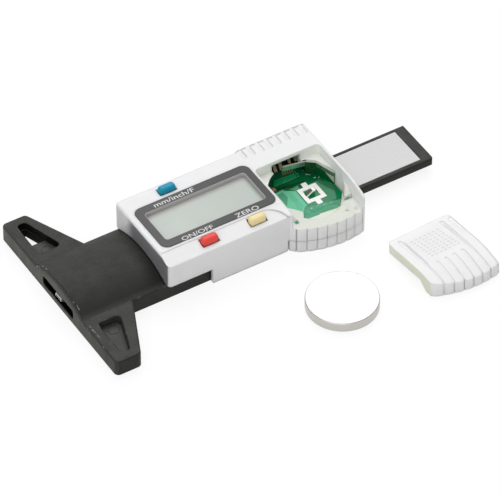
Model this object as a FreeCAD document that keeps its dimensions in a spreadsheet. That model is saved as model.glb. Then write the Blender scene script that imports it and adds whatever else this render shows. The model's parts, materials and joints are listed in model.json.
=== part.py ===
import FreeCAD, Part
import Sketcher
import math
import os

# Digital tyre tread depth gauge, lying on its back.
# X runs from the measuring face of the foot (x = 0) towards the tail of the slider,
# Y runs across the gauge, Z is up, and z = 0 is the surface that it lies on.
# Millimetres throughout.

V = FreeCAD.Vector
X_AXIS = V(1, 0, 0)
Y_AXIS = V(0, 1, 0)
Z_AXIS = V(0, 0, 1)

SIZES = {
    # foot and stem, one black moulding
    "foot_span": 61.2,
    "foot_end_length": 7.5,
    "foot_taper_end": 15.6,
    "foot_height": 4.9,
    "foot_corner_radius": 1.4,
    "foot_edge_radius": 0.5,
    "stem_width": 25.4,
    "stem_crown_height": 8.1,
    "stem_tuck": 1.6,
    "stem_front_radius": 1.0,
    # teardrop pockets in the wings of the foot
    "pocket_root": 15.3,
    "pocket_tip": 27.9,
    "pocket_front": 3.1,
    "pocket_root_width": 7.0,
    "pocket_tip_width": 2.8,
    "pocket_floor": 2.6,
    "pocket_corner_radius": 1.2,
    "hang_hole_start": 21.2,
    # channel that guides the slider, and its stop groove
    "channel_width": 16.0,
    "channel_floor": 1.6,
    "channel_height": 3.2,
    "channel_corner_radius": 0.8,
    "stop_width": 3.0,
    "stop_length": 3.0,
    "stop_place": 58.5,
    "stop_drop": 0.6,
    "stop_clearance": 0.2,
    # housing
    "housing_front": 25.8,
    "housing_width": 28.2,
    "housing_height": 13.8,
    "housing_wall": 1.2,
    "front_wall": 1.4,
    "deck_thickness": 1.2,
    "housing_corner_radius": 1.2,
    "far_edge_radius": 1.0,
    "near_crease": 9.3,
    "near_edge_drop": 1.3,
    "crease_length": 5.9,
    "crease_reach": 5.4,
    "crease_bow": 1.2,
    "crease_step": 0.15,
    "skirt_height": 5.2,
    "skirt_end": 39.5,
    "split_gap": 0.5,
    # grip section at the back of the housing
    "grip_front": 63.4,
    "housing_rear": 85.0,
    "rear_wall": 0.7,
    "grip_lead": 1.25,
    "grip_near_start": 15.5,
    "grip_near_crest": 18.7,
    "grip_near_end": 18.2,
    "grip_far_start": 14.2,
    "grip_far_crest": 15.7,
    "grip_far_end": 15.0,
    "grip_corner": 1.1,
    "rib_proud": 0.16,
    "rib_slot_width": 0.24,
    "rib_slot_depth": 0.3,
    "far_shoulder_radius": 3.0,
    "cover_drop": 2.3,
    "cover_flat_edge": 8.0,
    "parting_height": 3.8,
    "rim_height": 8.2,
    "ledge_drop_start": 10.0,
    "ledge_drop_end": 12.6,
    "far_rib_length": 3.3,
    "far_rib_width": 1.1,
    "far_rib_depth": 0.45,
    # battery bay
    "bay_front": 64.0,
    "bay_far": 5.2,
    "cell_diameter": 20.0,
    "cell_thickness": 3.2,
    "cell_clearance": 0.3,
    "bay_corner_radius": 1.3,
    "contact_room": 0.8,
    "seat_shelf_height": 7.4,
    "finger_window_lead": 4.55,
    "finger_window_length": 9.0,
    "ledge_slot_length": 2.7,
    "ledge_slot_line": 12.2,
    "ledge_slot_width": 0.8,
    "ledge_hole_setback": 2.2,
    "ledge_hole_line": 13.1,
    "ledge_hole_width": 1.1,
    "dimple_radius": 0.45,
    "dimple_depth": 0.3,
    "first_dimple_setback": 4.2,
    "first_dimple_line": 16.2,
    "second_dimple_setback": 1.7,
    "second_dimple_line": 16.7,
    # display
    "bezel_front": 27.8,
    "bezel_length": 35.5,
    "bezel_width": 17.0,
    "bezel_depth": 0.8,
    "bezel_proud": 0.15,
    "bezel_corner_radius": 2.2,
    "bezel_fit": 0.05,
    "window_length": 31.3,
    "window_width": 11.9,
    "window_front": 29.95,
    "window_corner_radius": 1.0,
    "lcd_length": 33.4,
    "lcd_width": 14.0,
    "lcd_thickness": 1.8,
    "lcd_gap": 0.1,
    "lcd_frame_wall": 0.9,
    "elastomer_width": 1.6,
    "elastomer_length": 28.0,
    # circuit board
    "board_thickness": 1.0,
    "board_width": 24.6,
    "board_fit": 0.3,
    "chip_radius": 4.0,
    "chip_height": 1.4,
    "chip_slope": 0.8,
    "dome_radius": 0.9,
    "dome_height": 0.35,
    # buttons
    "button_length": 5.0,
    "button_width": 2.5,
    "button_fit": 0.15,
    "button_proud": 1.6,
    "button_travel": 0.7,
    "button_flange": 0.7,
    "button_flange_thickness": 0.8,
    "near_flange_drop": 0.5,
    "button_stem_radius": 0.8,
    "button_edge_radius": 1.0,
    "far_button_line": 10.95,
    "near_button_line": 11.1,
    "first_button_inset": 10.15,
    "button_pitch": 14.85,
    # slider
    "bar_width": 15.4,
    "bar_thickness": 2.7,
    "bar_front": 27.2,
    "bar_tail": 113.2,
    "bar_edge_radius": 0.5,
    "bar_lift": 0.2,
    "travel": 25.4,
    "label_width": 12.8,
    "label_front": 46.0,
    "label_tail": 109.9,
    "strip_thickness": 0.4,
    "label_thickness": 0.1,
    "pocket_fit": 0.1,
    "probe_width": 3.0,
    "probe_thickness": 1.1,
    "probe_seat": 12.0,
    "probe_setback": 0.1,
    # screws
    "screw_radius": 0.9,
    "screw_head_radius": 1.7,
    "screw_head_height": 1.0,
    "screw_length": 7.0,
    "screw_fit": 0.1,
    "screw_point": 0.4,
    "boss_radius": 1.9,
    "front_screw_line": 9.7,
    "rear_screw_setback": 3.6,
    "rear_screw_far_line": 12.6,
    "rear_screw_near_line": 15.3,
    # battery contacts
    "contact_sheet": 0.25,
    "negative_lead": 2.65,
    "negative_lift": 1.4,
    "negative_width": 6.0,
    "negative_opening": 3.6,
    "negative_tab": 1.6,
    "finger_width": 1.4,
    "finger_rise": 1.4,
    "finger_root": 0.3,
    "positive_top": 10.2,
    "positive_band": 1.8,
    "positive_end_inset": 0.15,
    # loose cell and its cover, laid beside the gauge
    "cell_place": 64.2,
    "cell_line": 39.2,
    "can_skirt": 0.9,
    "cap_radius": 8.9,
    "gasket_width": 0.3,
    "cap_stand": 0.1,
    "can_rounding": 0.25,
    "cover_gap": 0.15,
    "cover_wall": 1.3,
    "cover_side_depth": 3.0,
    "cover_rib_depth": 0.2,
    "cover_rib_width": 0.9,
    "cover_side_groove": 1.0,
    "cover_rib_start": 9.85,
    "cover_groove_margin": 2.2,
    "cover_fit_play": 0.4,
    "cover_tongue_reach": 1.1,
    "cover_tongue_length": 8.2,
    "cover_tongue_thickness": 1.0,
    "cover_yaw": 2.4,
    "cover_place": 85.3,
    "cover_line": 28.2,
    # drag spring beside the slider
    "spring_sheet": 0.2,
    "spring_length": 9.0,
    "spring_width": 2.0,
    "spring_bow": 1.0,
    "spring_place": 51.0,
}
RIB_COUNT = 7
LONG_GROOVES = (1, 6, 7)     # the cover's ribs with a groove over the whole lid
SHORT_GROOVES = (2, 3, 4, 5)
# corners in plan, from the middle of the seat: shares of its reach to the rear and to the far side
STRIP_CORNERS = ((-0.096, 0.996), (0.55, 0.866), (0.791, 0.695), (1.0, 0.136))
# inner edge of the shelf in the seat, as shares of the seat's radius
SHELF_EDGE = ((-1.3, 0.0), (-0.75, 0.0), (-0.51, -0.27), (-0.374, -0.466), (-0.48, -0.66),
              (-0.335, -0.806), (-0.335, -1.3), (-1.3, -1.3))

doc = FreeCAD.newDocument("depth_gauge")
sheet = doc.addObject("Spreadsheet::Sheet", "Sizes")


class Size:
    """A length, with the sheet expression that keeps it bound to the driving dimensions."""

    def __init__(self, value, text):
        self.value = float(value)
        self.text = text

    def join(self, sign, other, value):
        return Size(value, "(%s %s %s)" % (self.text, sign, as_size(other).text))

    def __add__(self, other):
        return self.join("+", other, self.value + as_size(other).value)

    def __sub__(self, other):
        return self.join("-", other, self.value - as_size(other).value)

    def __mul__(self, other):
        return self.join("*", other, self.value * as_size(other).value)

    def __truediv__(self, other):
        return self.join("/", other, self.value / as_size(other).value)

    def __radd__(self, other):
        return as_size(other) + self

    def __rsub__(self, other):
        return as_size(other) - self

    def __rmul__(self, other):
        return as_size(other) * self

    def __neg__(self):
        return as_size(0) - self

    def __float__(self):
        return self.value


def as_size(number):
    return number if isinstance(number, Size) else Size(number, "(%r)" % float(number))


class Dimensions:
    """The driving dimensions as attributes: D.foot_span and so on."""


D = Dimensions()
for row, (alias, number) in enumerate(SIZES.items(), start=1):
    sheet.set("A%d" % row, alias)
    sheet.set("B%d" % row, str(number))
    sheet.setAlias("B%d" % row, alias)
    setattr(D, alias, Size(number, "Sizes." + alias))
doc.recompute()


# ---------------------------------------------------------------- helpers

def bind(thing, prop, size):
    thing.setExpression(prop, as_size(size).text)


def place(thing, x, y, z):
    bind(thing, "Placement.Base.x", x)
    bind(thing, "Placement.Base.y", y)
    bind(thing, "Placement.Base.z", z)


def block(name, x_range, y_range, z_range):
    """A Part box between two values on each axis."""
    box = doc.addObject("Part::Box", name)
    bind(box, "Length", x_range[1] - as_size(x_range[0]))
    bind(box, "Width", y_range[1] - as_size(y_range[0]))
    bind(box, "Height", z_range[1] - as_size(z_range[0]))
    place(box, x_range[0], y_range[0], z_range[0])
    return box


def rod(name, centre, radius, height, turn=None):
    """A Part cylinder from a centre point, along Z or turned by the given rotation."""
    cylinder = doc.addObject("Part::Cylinder", name)
    bind(cylinder, "Radius", radius)
    bind(cylinder, "Height", height)
    if turn:
        cylinder.Placement = FreeCAD.Placement(V(), turn)
    place(cylinder, *centre)
    return cylinder


def fuse(name, things):
    joined = doc.addObject("Part::MultiFuse", name)
    joined.Shapes = things
    joined.Refine = True
    return joined


def common(name, things):
    shared = doc.addObject("Part::MultiCommon", name)
    shared.Shapes = things
    return shared


def cut(name, base, tools):
    """Base less its tools."""
    result = doc.addObject("Part::Cut", name)
    result.Base = base
    result.Tool = tools[0] if len(tools) == 1 else fuse(name + "_tools", tools)
    result.Refine = True
    return result


def feature(name, shape):
    """A shape made with Part's own functions from the sheet's values."""
    item = doc.addObject("Part::Feature", name)
    item.Shape = shape
    return item


def new_body(label):
    body = doc.addObject("PartDesign::Body", label + "_body")
    return body


def sketch_on(body, name, plane, lift=0.0):
    """A sketch on one of the body's own origin planes, lifted along that plane's normal."""
    sketch = body.newObject("Sketcher::SketchObject", name)
    support = [item for item in body.Origin.OriginFeatures if item.Role == plane][0]
    sketch.AttachmentSupport = (support, [""])
    sketch.MapMode = "FlatFace"
    bind(sketch, "AttachmentOffset.Base.z", lift)
    return sketch


def add_outline(sketch, points):
    """A closed polygon whose corners are bound to the sheet."""
    first = sketch.GeometryCount
    count = len(points)
    corners = [V(float(as_size(x)), float(as_size(y)), 0) for x, y in points]
    for index in range(count):
        following = corners[(index + 1) % count]
        sketch.addGeometry(Part.LineSegment(corners[index], following))
    for index in range(count):
        line = first + index
        next_line = first + (index + 1) % count
        sketch.addConstraint(Sketcher.Constraint("Coincident", line, 2, next_line, 1))
    for index, (x, y) in enumerate(points):
        for kind, size in (("DistanceX", as_size(x)), ("DistanceY", as_size(y))):
            rule = Sketcher.Constraint(kind, -1, 1, first + index, 1, size.value)
            number = sketch.addConstraint(rule)
            sketch.setExpression("Constraints[%d]" % number, size.text)


def rectangle(x_range, y_range):
    return [(x_range[0], y_range[0]), (x_range[1], y_range[0]),
            (x_range[1], y_range[1]), (x_range[0], y_range[1])]


def pad(body, name, plane, points, lift, length):
    sketch = sketch_on(body, name + "_sketch", plane, lift)
    add_outline(sketch, points)
    step = body.newObject("PartDesign::Pad", name)
    step.Profile = sketch
    bind(step, "Length", length)
    body.Tip = step
    return step


def pocket(body, name, plane, points, lift, length):
    """A cut upwards from the sketch plane: the sketch lies at the pocket's low end."""
    sketch = sketch_on(body, name + "_sketch", plane, lift)
    add_outline(sketch, points)
    step = body.newObject("PartDesign::Pocket", name)
    step.Profile = sketch
    step.Reversed = True
    bind(step, "Length", length)
    body.Tip = step
    doc.recompute()
    return step


def dress(body, kind, name, radius, wanted):
    """A fillet or chamfer on the edges of the body's tip that the test picks out."""
    doc.recompute()
    tip = body.Tip
    names = ["Edge%d" % (index + 1) for index, edge in enumerate(tip.Shape.Edges) if wanted(edge)]
    step = body.newObject("PartDesign::" + kind, name)
    step.Base = (tip, names)
    bind(step, "Radius" if kind == "Fillet" else "Size", radius)
    body.Tip = step
    return step


def round_edges(name, base, radius, wanted):
    """A Part fillet on the edges that the test picks out."""
    rounded = doc.addObject("Part::Fillet", name)
    rounded.Base = base
    doc.recompute()
    radius = float(radius)
    rounded.Edges = [(index + 1, radius, radius)
                     for index, edge in enumerate(base.Shape.Edges) if wanted(edge)]
    return rounded


def upright(edge):
    """True for a straight edge along Z."""
    box = edge.BoundBox
    return box.ZLength > 0.05 and box.XLength < 0.001 and box.YLength < 0.001


def revolved(body, name, points):
    """A solid of revolution about Z from a profile of (radius, height) points."""
    sketch = sketch_on(body, name + "_sketch", "XZ_Plane")
    add_outline(sketch, points)
    step = body.newObject("PartDesign::Revolution", name)
    step.Profile = sketch
    step.ReferenceAxis = (sketch, ["V_Axis"])
    step.Angle = 360.0
    body.Tip = step
    return step


def finish(item, label):
    item.Label = label
    kept.append(item)
    return item


kept = []

# ---------------------------------------------------------------- shared places

half_stem = D.stem_width / 2
half_channel = D.channel_width / 2
half_housing = D.housing_width / 2
channel_top = D.channel_floor + D.channel_height
board_bottom = D.foot_height
board_top = board_bottom + D.board_thickness
track_end = D.grip_front - D.split_gap
stem_end = D.housing_front + D.stem_tuck
inner_front = D.housing_front + D.front_wall
deck_under = D.housing_height - D.deck_thickness
bay_rear = D.housing_rear - D.rear_wall
cell_radius = D.cell_diameter / 2
recess_radius = cell_radius + D.cell_clearance
recess_x = (D.bay_front + bay_rear) / 2
recess_y = D.bay_far - recess_radius
ledge_height = D.housing_height - D.cover_side_depth - D.cover_gap
near_edge_height = D.housing_height - D.near_edge_drop
first_button = D.window_front + D.first_button_inset
second_button = first_button + D.button_pitch
CLEAR = 5.0          # how far a cutting block runs past what it cuts
OVERLAP = 0.2        # how far a boss runs into the wall that carries it
LEAST_RADIUS = 0.2   # the smallest radius that an inset rounding may have
TOUCH = 0.01         # how near two places must be to count as the same


# ---------------------------------------------------------------- foot, stem and track

def crown_solid(name, x_range, lift):
    """The arched top of the stem: a slice of a long cylinder lying along X."""
    rise = D.stem_crown_height - D.foot_height
    radius = (half_stem * half_stem + rise * rise) / (rise * 2)
    lying = FreeCAD.Rotation(Y_AXIS, 90)
    barrel = rod(name + "_barrel", (x_range[0], 0, D.stem_crown_height - radius), radius + lift,
                 x_range[1] - as_size(x_range[0]), lying)
    slab = block(name + "_slab", x_range, (-half_stem - lift, half_stem + lift),
                 (D.channel_floor, D.stem_crown_height + lift + 1))
    return common(name, [barrel, slab])


def wing_pocket_points(side, start):
    """Outline of the tapered pocket in one wing, from a distance across to its tip."""
    reach = D.pocket_tip - D.pocket_root
    narrowing = D.pocket_root_width - D.pocket_tip_width
    width = D.pocket_tip_width + narrowing * (D.pocket_tip - start) / reach
    points = [(D.pocket_front, start), (D.pocket_front + width, start),
              (D.pocket_front + D.pocket_tip_width, D.pocket_tip), (D.pocket_front, D.pocket_tip)]
    return [(x, as_size(y) * side) for x, y in points]


def make_base_frame():
    body = new_body("base_frame")
    half_span = D.foot_span / 2
    outline = [(0, -half_span), (D.foot_end_length, -half_span), (D.foot_taper_end, -half_stem),
               (track_end, -half_stem), (track_end, half_stem), (D.foot_taper_end, half_stem),
               (D.foot_end_length, half_span), (0, half_span)]
    pad(body, "foot_and_track", "XY_Plane", outline, 0, D.foot_height)
    dress(body, "Fillet", "foot_corners", D.foot_corner_radius,
          lambda edge: upright(edge) and abs(edge.CenterOfMass.y) > D.foot_span.value / 2 - 0.1)
    dress(body, "Fillet", "foot_edges", D.foot_edge_radius, foot_rim)
    for side, name in ((-1, "near"), (1, "far")):
        pocket(body, name + "_wing_pocket", "XY_Plane", wing_pocket_points(side, D.pocket_root),
               D.pocket_floor, D.foot_height)
        dress(body, "Fillet", name + "_pocket_corners", D.pocket_corner_radius,
              lambda edge, side=side: pocket_corner(edge, side, D.pocket_floor.value))
    pocket(body, "hang_hole", "XY_Plane", hang_hole_points(), 0, D.foot_height)
    frame = crown_solid("stem_crown", (0, stem_end), 0)
    rounded = round_edges("stem_crown_rounded", frame, D.stem_front_radius,
                          lambda edge: edge.BoundBox.XMax < TOUCH and
                          edge.CenterOfMass.z > D.foot_height.value)
    whole = fuse("frame_solid", [body, rounded])
    tools = [
        channel_tool(),
        block("stop_groove", (D.stop_place - D.travel - D.stop_clearance,
                              D.stop_place + D.stop_length + D.stop_clearance),
              (-D.stop_width / 2 - D.stop_clearance, D.stop_width / 2 + D.stop_clearance),
              (D.channel_floor - D.stop_drop - D.stop_clearance, D.channel_floor + 1)),
        block("spring_slot", (D.spring_place, D.spring_place + D.spring_length + 2 * D.pocket_fit),
              (half_channel - 1, half_channel + D.spring_bow),
              (D.channel_floor + D.bar_lift, D.foot_height + 1)),
        ]
    tools += screw_holes("frame", front_screws(), D.foot_height)
    return finish(cut("base_frame_solid", whole, tools), "base_frame")


def foot_rim(edge):
    """Top edges of the two wings, away from the stem."""
    centre = edge.CenterOfMass
    box = edge.BoundBox
    on_top = box.ZLength < 0.001 and abs(centre.z - D.foot_height.value) < 0.001
    return on_top and abs(centre.y) > D.stem_width.value / 2 + 0.1


def pocket_corner(edge, side, floor):
    centre = edge.CenterOfMass
    if not upright(edge) or edge.BoundBox.ZMin < floor - 0.01:
        return False
    inside = D.pocket_root.value - 0.1 < centre.y * side < D.pocket_tip.value + 0.1
    return inside and centre.x > D.pocket_front.value - 0.1


def hang_hole_points():
    """The outer part of the far pocket goes right through, a little inside its wall."""
    ledge = D.pocket_fit * 2
    points = wing_pocket_points(1, D.hang_hole_start)
    inner = [(points[0][0] + ledge, points[0][1]), (points[1][0] - ledge, points[1][1]),
             (points[2][0] - ledge, points[2][1] - ledge * 2),
             (points[3][0] + ledge, points[3][1] - ledge * 2)]
    return inner


def channel_tool():
    """The flat slot that the slider runs in; it is open on top behind the stem."""
    body = new_body("channel")
    outline = rectangle((-half_channel, half_channel), (D.channel_floor, channel_top))
    pad(body, "channel_slot", "YZ_Plane", outline, -CLEAR, D.housing_rear + 2 * CLEAR)
    dress(body, "Fillet", "channel_corners", D.channel_corner_radius,
          lambda edge: edge.BoundBox.XLength > 1)
    open_top = block("channel_open_top", (stem_end, D.grip_front + CLEAR),
                     (-half_channel, half_channel),
                     (D.channel_floor + D.channel_height / 2, D.foot_height + CLEAR))
    return fuse("channel_space", [body, open_top])


# ---------------------------------------------------------------- screws

def front_screws():
    between = (first_button + second_button) / 2
    return [(between, D.front_screw_line * side) for side in (-1, 1)]


def rear_screws():
    place_x = D.housing_rear - D.rear_screw_setback
    return [(place_x, -D.rear_screw_near_line), (place_x, D.rear_screw_far_line)]


def screw_holes(name, centres, top):
    """Counterbored clearance holes from below."""
    holes = []
    for index, (x, y) in enumerate(centres):
        holes.append(rod("%s_hole_%d" % (name, index), (x, y, -1), D.screw_radius + D.screw_fit,
                         top + 2))
        holes.append(rod("%s_counterbore_%d" % (name, index), (x, y, -1),
                         D.screw_head_radius + D.screw_fit, D.screw_head_height + 1 + D.screw_fit))
    return holes


def make_screws():
    """Four identical screws, heads let into the back."""
    body = new_body("housing_screw")
    recess = D.screw_fit
    top = recess + D.screw_head_height
    profile = [(0, recess), (D.screw_head_radius, recess), (D.screw_head_radius, top),
               (D.screw_radius, top), (D.screw_radius, D.screw_length - D.screw_point),
               (D.screw_radius / 2, D.screw_length), (0, D.screw_length)]
    revolved(body, "screw_turned", profile)
    doc.recompute()
    screws = []
    for x, y in front_screws() + rear_screws():
        copy = body.Shape.copy()
        copy.translate(V(float(x), float(y), 0))
        screws.append(copy)
    return finish(feature("screws", Part.Compound(screws)), "housing_screws")


# ---------------------------------------------------------------- outlines of the housing

def scalloped(start, middle, end, outward):
    """Ribs strung along the arc through three points: short arcs that meet at the grooves."""
    points = Part.Arc(start, middle, end).toShape().discretize(Number=RIB_COUNT + 1)
    edges = []
    for first, second in zip(points, points[1:]):
        peak = (first + second) * 0.5 + outward * D.rib_proud.value
        edges.append(Part.Arc(first, peak, second).toShape())
    return edges


def near_rib_line():
    """Start, middle and end of the arc that the near ribs are strung along."""
    first = D.grip_front.value + D.grip_lead.value
    last = D.housing_rear.value - D.grip_corner.value
    return [V(first, -D.grip_near_start.value, 0), V((first + last) / 2, -D.grip_near_crest.value, 0),
            V(last, -D.grip_near_end.value, 0)]


def rib_slots(low, high, first=0):
    """Narrow upright slots between the near ribs, cut square to the grip's arc."""
    arc = Part.Arc(*near_rib_line()).toShape()
    width = D.rib_slot_width.value
    depth = D.rib_slot_depth.value
    slots = []
    for point in arc.discretize(Number=RIB_COUNT + 1)[first:]:
        out = point - arc.Curve.Center
        slot = Part.makeBox(2 * depth, width, high - low, V(-depth, -width / 2, low))
        slot.rotate(V(0, 0, 0), Z_AXIS, math.degrees(math.atan2(out.y, out.x)))
        slot.translate(point)
        slots.append(slot)
    return Part.Compound(slots)


def grip_plan(inset, ribbed):
    """Plan of the grip section: straight front and rear, a bulging rib grip on each side."""
    d = {name: getattr(D, name).value for name in SIZES if name.startswith("grip_")}
    front = d["grip_front"] + inset
    rear = D.housing_rear.value - inset
    first = d["grip_front"] + d["grip_lead"]
    last = D.housing_rear.value - d["grip_corner"]
    middle = (first + last) / 2
    side = half_housing.value - inset
    near = [point + V(0, inset, 0) for point in near_rib_line()]
    far = [V(last, d["grip_far_end"] - inset, 0), V(middle, d["grip_far_crest"] - inset, 0),
           V(first, d["grip_far_start"] - inset, 0)]
    edges = [Part.LineSegment(V(front, -side, 0), near[0]).toShape()]
    if ribbed:
        edges += scalloped(*near, -Y_AXIS)
    else:
        edges.append(Part.Arc(*near).toShape())
    corner = d["grip_corner"] * 0.7
    rear_near = V(rear, near[2].y + d["grip_corner"], 0)
    turn_near = V(rear - (rear - last) * 0.3, near[2].y + corner * 0.42, 0)
    edges.append(Part.Arc(near[2], turn_near, rear_near).toShape())
    rear_far = V(rear, far[0].y - d["grip_corner"], 0)
    turn_far = V(rear - (rear - last) * 0.3, far[0].y - corner * 0.42, 0)
    edges.append(Part.LineSegment(rear_near, rear_far).toShape())
    edges.append(Part.Arc(rear_far, turn_far, far[0]).toShape())
    if ribbed:
        edges += scalloped(*far, Y_AXIS)
    else:
        edges.append(Part.Arc(*far).toShape())
    edges.append(Part.LineSegment(far[2], V(front, side, 0)).toShape())
    edges.append(Part.LineSegment(V(front, side, 0), V(front, -side, 0)).toShape())
    return Part.Face(Part.Wire(Part.__sortEdges__(edges)))


def grip_prism(inset, ribbed, low, high):
    plan = grip_plan(inset, ribbed)
    plan.translate(V(0, 0, low))
    return plan.extrude(V(0, 0, high - low))


def grip_section(inset, x_low, x_high):
    """Section across the grip: flat deck, arched down on the near side, rounded on the far."""
    top = D.housing_height.value - inset
    flat = D.cover_flat_edge.value
    drop = D.cover_drop.value
    reach = D.grip_near_crest.value + D.rib_proud.value - flat
    radius = (reach * reach + drop * drop) / (2 * drop) - inset
    centre = V(0, -flat, top - radius)
    wide = reach + 1.0
    low_angle = math.asin(wide / radius)
    arch_end = centre + V(0, -wide, radius * math.cos(low_angle))
    arch_middle = centre + V(0, -radius * math.sin(low_angle / 2), radius * math.cos(low_angle / 2))
    far = D.grip_far_crest.value + D.rib_proud.value - inset
    curl = max(D.far_shoulder_radius.value - inset, LEAST_RADIUS)
    diagonal = curl * (1 - math.sqrt(0.5))
    below = -CLEAR
    edges = [
        Part.LineSegment(V(0, arch_end.y, below), arch_end).toShape(),
        Part.Arc(arch_end, arch_middle, V(0, -flat, top)).toShape(),
        Part.LineSegment(V(0, -flat, top), V(0, far - curl, top)).toShape(),
        Part.Arc(V(0, far - curl, top), V(0, far - diagonal, top - diagonal),
                 V(0, far, top - curl)).toShape(),
        Part.LineSegment(V(0, far, top - curl), V(0, far, below)).toShape(),
        Part.LineSegment(V(0, far, below), V(0, arch_end.y, below)).toShape(),
        ]
    face = Part.Face(Part.Wire(edges))
    face.translate(V(x_low, 0, 0))
    return face.extrude(V(x_high - x_low, 0, 0))


def front_section(name, inset, x_range, low):
    """The display section as a pad along X: flat deck, sloping strip on the near side."""
    body = new_body(name)
    side = half_housing - inset
    top = D.housing_height - inset
    outline = [(-side, low), (side, low), (side, top), (-D.near_crease, top),
               (-D.near_crease, top - D.crease_step), (-side, near_edge_height - inset)]
    pad(body, name + "_profile", "YZ_Plane", outline, x_range[0], x_range[1] - as_size(x_range[0]))
    if float(inset) == 0:
        dress(body, "Fillet", name + "_corners", D.housing_corner_radius,
              lambda edge: upright(edge) and edge.Length > D.crease_step.value * 2 and
              edge.CenterOfMass.x < float(x_range[0]) + TOUCH)
    radius = as_size(max(D.far_edge_radius.value - float(inset), LEAST_RADIUS))
    dress(body, "Fillet", name + "_far_edge", radius,
          lambda edge: edge.BoundBox.XLength > CLEAR and edge.CenterOfMass.y > 0 and
          edge.CenterOfMass.z > near_edge_height.value - 1)
    return body


# ---------------------------------------------------------------- top housing

def deck_arch():
    """The part of the deck beside the bay that follows the cover's arch, inside a curved crease."""
    turn = D.grip_front.value - D.crease_length.value
    foot = turn + D.crease_reach.value
    crease = -D.near_crease.value
    edge = -half_housing.value
    bow = D.crease_bow.value * math.sqrt(0.5)
    middle = V((turn + foot) / 2 + bow, (crease + edge) / 2 + bow, 0)
    corners = [V(foot, edge, 0), V(D.bay_front.value, edge, 0),
               V(D.bay_front.value, crease + LEAST_RADIUS, 0), V(turn, crease + LEAST_RADIUS, 0),
               V(turn, crease, 0)]
    edges = [Part.Arc(V(turn, crease, 0), middle, V(foot, edge, 0)).toShape()]
    edges += [Part.LineSegment(*pair).toShape() for pair in zip(corners, corners[1:])]
    plan = Part.Face(Part.Wire(edges))
    plan.translate(V(0, 0, deck_under.value))
    column = plan.extrude(V(0, 0, CLEAR))
    return feature("deck_arch", column.common(grip_section(0, turn - 1, D.bay_front.value + 1)))


def bay_tools():
    """The battery bay: an open well with a round seat for the cell and room for its contact."""
    reach = D.grip_near_crest + CLEAR
    well = block("bay_well", (D.bay_front, bay_rear), (-D.ledge_drop_start, D.bay_far),
                 (ledge_height, D.housing_height + CLEAR))
    rounded = round_edges("bay_well_rounded", well, D.bay_corner_radius,
                          lambda edge: upright(edge) and edge.CenterOfMass.y > 0)
    low_well = new_body("bay_low_well")
    high = D.housing_height + CLEAR
    outline = [(-D.ledge_drop_start, ledge_height), (-D.ledge_drop_start, high), (-reach, high),
               (-reach, D.rim_height), (-D.ledge_drop_end, D.rim_height)]
    pad(low_well, "bay_ramp", "YZ_Plane", outline, D.bay_front, bay_rear - D.bay_front)
    round_seat = rod("bay_round_seat", (recess_x, recess_y, board_top - 1), recess_radius,
                     ledge_height + 2 - board_top)
    shelf = new_body("bay_shelf")
    pad(shelf, "bay_shelf_plan", "XY_Plane",
        [(recess_x + recess_radius * across, recess_y + recess_radius * along)
         for across, along in SHELF_EDGE], 0, D.seat_shelf_height)
    seat = cut("bay_seat", round_seat, [shelf])
    pocket_for_contact = feature("bay_contact_pocket", contact_room())
    window_front = recess_x - D.finger_window_lead
    window = block("bay_finger_window", (window_front, window_front + D.finger_window_length),
                   (D.bay_far - 2 * D.housing_wall, D.bay_far + 2 * D.housing_wall),
                   (board_top, deck_under))
    under_strip = block("bay_window_under_strip", (window_front, as_size(strip_corners(0)[1].x)),
                        (D.bay_far - 2 * D.housing_wall, D.bay_far + 2 * D.housing_wall),
                        (board_top, D.positive_top - D.positive_band))
    slot = block("ledge_slot", (bay_rear - D.ledge_slot_length, bay_rear),
                 (-D.ledge_slot_line - D.ledge_slot_width / 2,
                  -D.ledge_slot_line + D.ledge_slot_width / 2),
                 (board_bottom, ledge_height - D.dimple_depth))
    hole_front = D.bay_front + D.ledge_hole_setback - D.ledge_hole_width / 2
    hole = block("ledge_hole", (hole_front, hole_front + D.ledge_hole_width),
                 (-D.ledge_hole_line - D.ledge_hole_width / 2,
                  -D.ledge_hole_line + D.ledge_hole_width / 2),
                 (board_bottom, D.rim_height + 1))
    dimples = [rod(name, (bay_rear - setback, -y, D.rim_height - D.dimple_depth),
                   D.dimple_radius, CLEAR)
               for name, setback, y in (
                   ("first_dimple", D.first_dimple_setback, D.first_dimple_line),
                   ("second_dimple", D.second_dimple_setback, D.second_dimple_line))]
    return [rounded, low_well, seat, pocket_for_contact, window, under_strip, slot, hole] + dimples


def contact_room():
    """The room for the positive strip: from the middle of the seat to just behind the strip."""
    corners = strip_corners(D.pocket_fit.value)
    outline = corners + [V(corners[-1].x, recess_y.value, 0), V(recess_x.value, recess_y.value, 0)]
    face = Part.Face(Part.makePolygon(outline + outline[:1]))
    face.translate(V(0, 0, board_top.value))
    return face.extrude(V(0, 0, ledge_height.value + 1 - board_top.value))


def strip_corners(room):
    """Corners of the positive strip's back, or of a line at some room behind it."""
    reach_rear = bay_rear.value - recess_x.value - D.positive_end_inset.value + room
    reach_far = recess_radius.value + D.contact_room.value - D.pocket_fit.value + room
    return [V(recess_x.value + reach_rear * across, recess_y.value + reach_far * along, 0)
            for across, along in STRIP_CORNERS]


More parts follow.
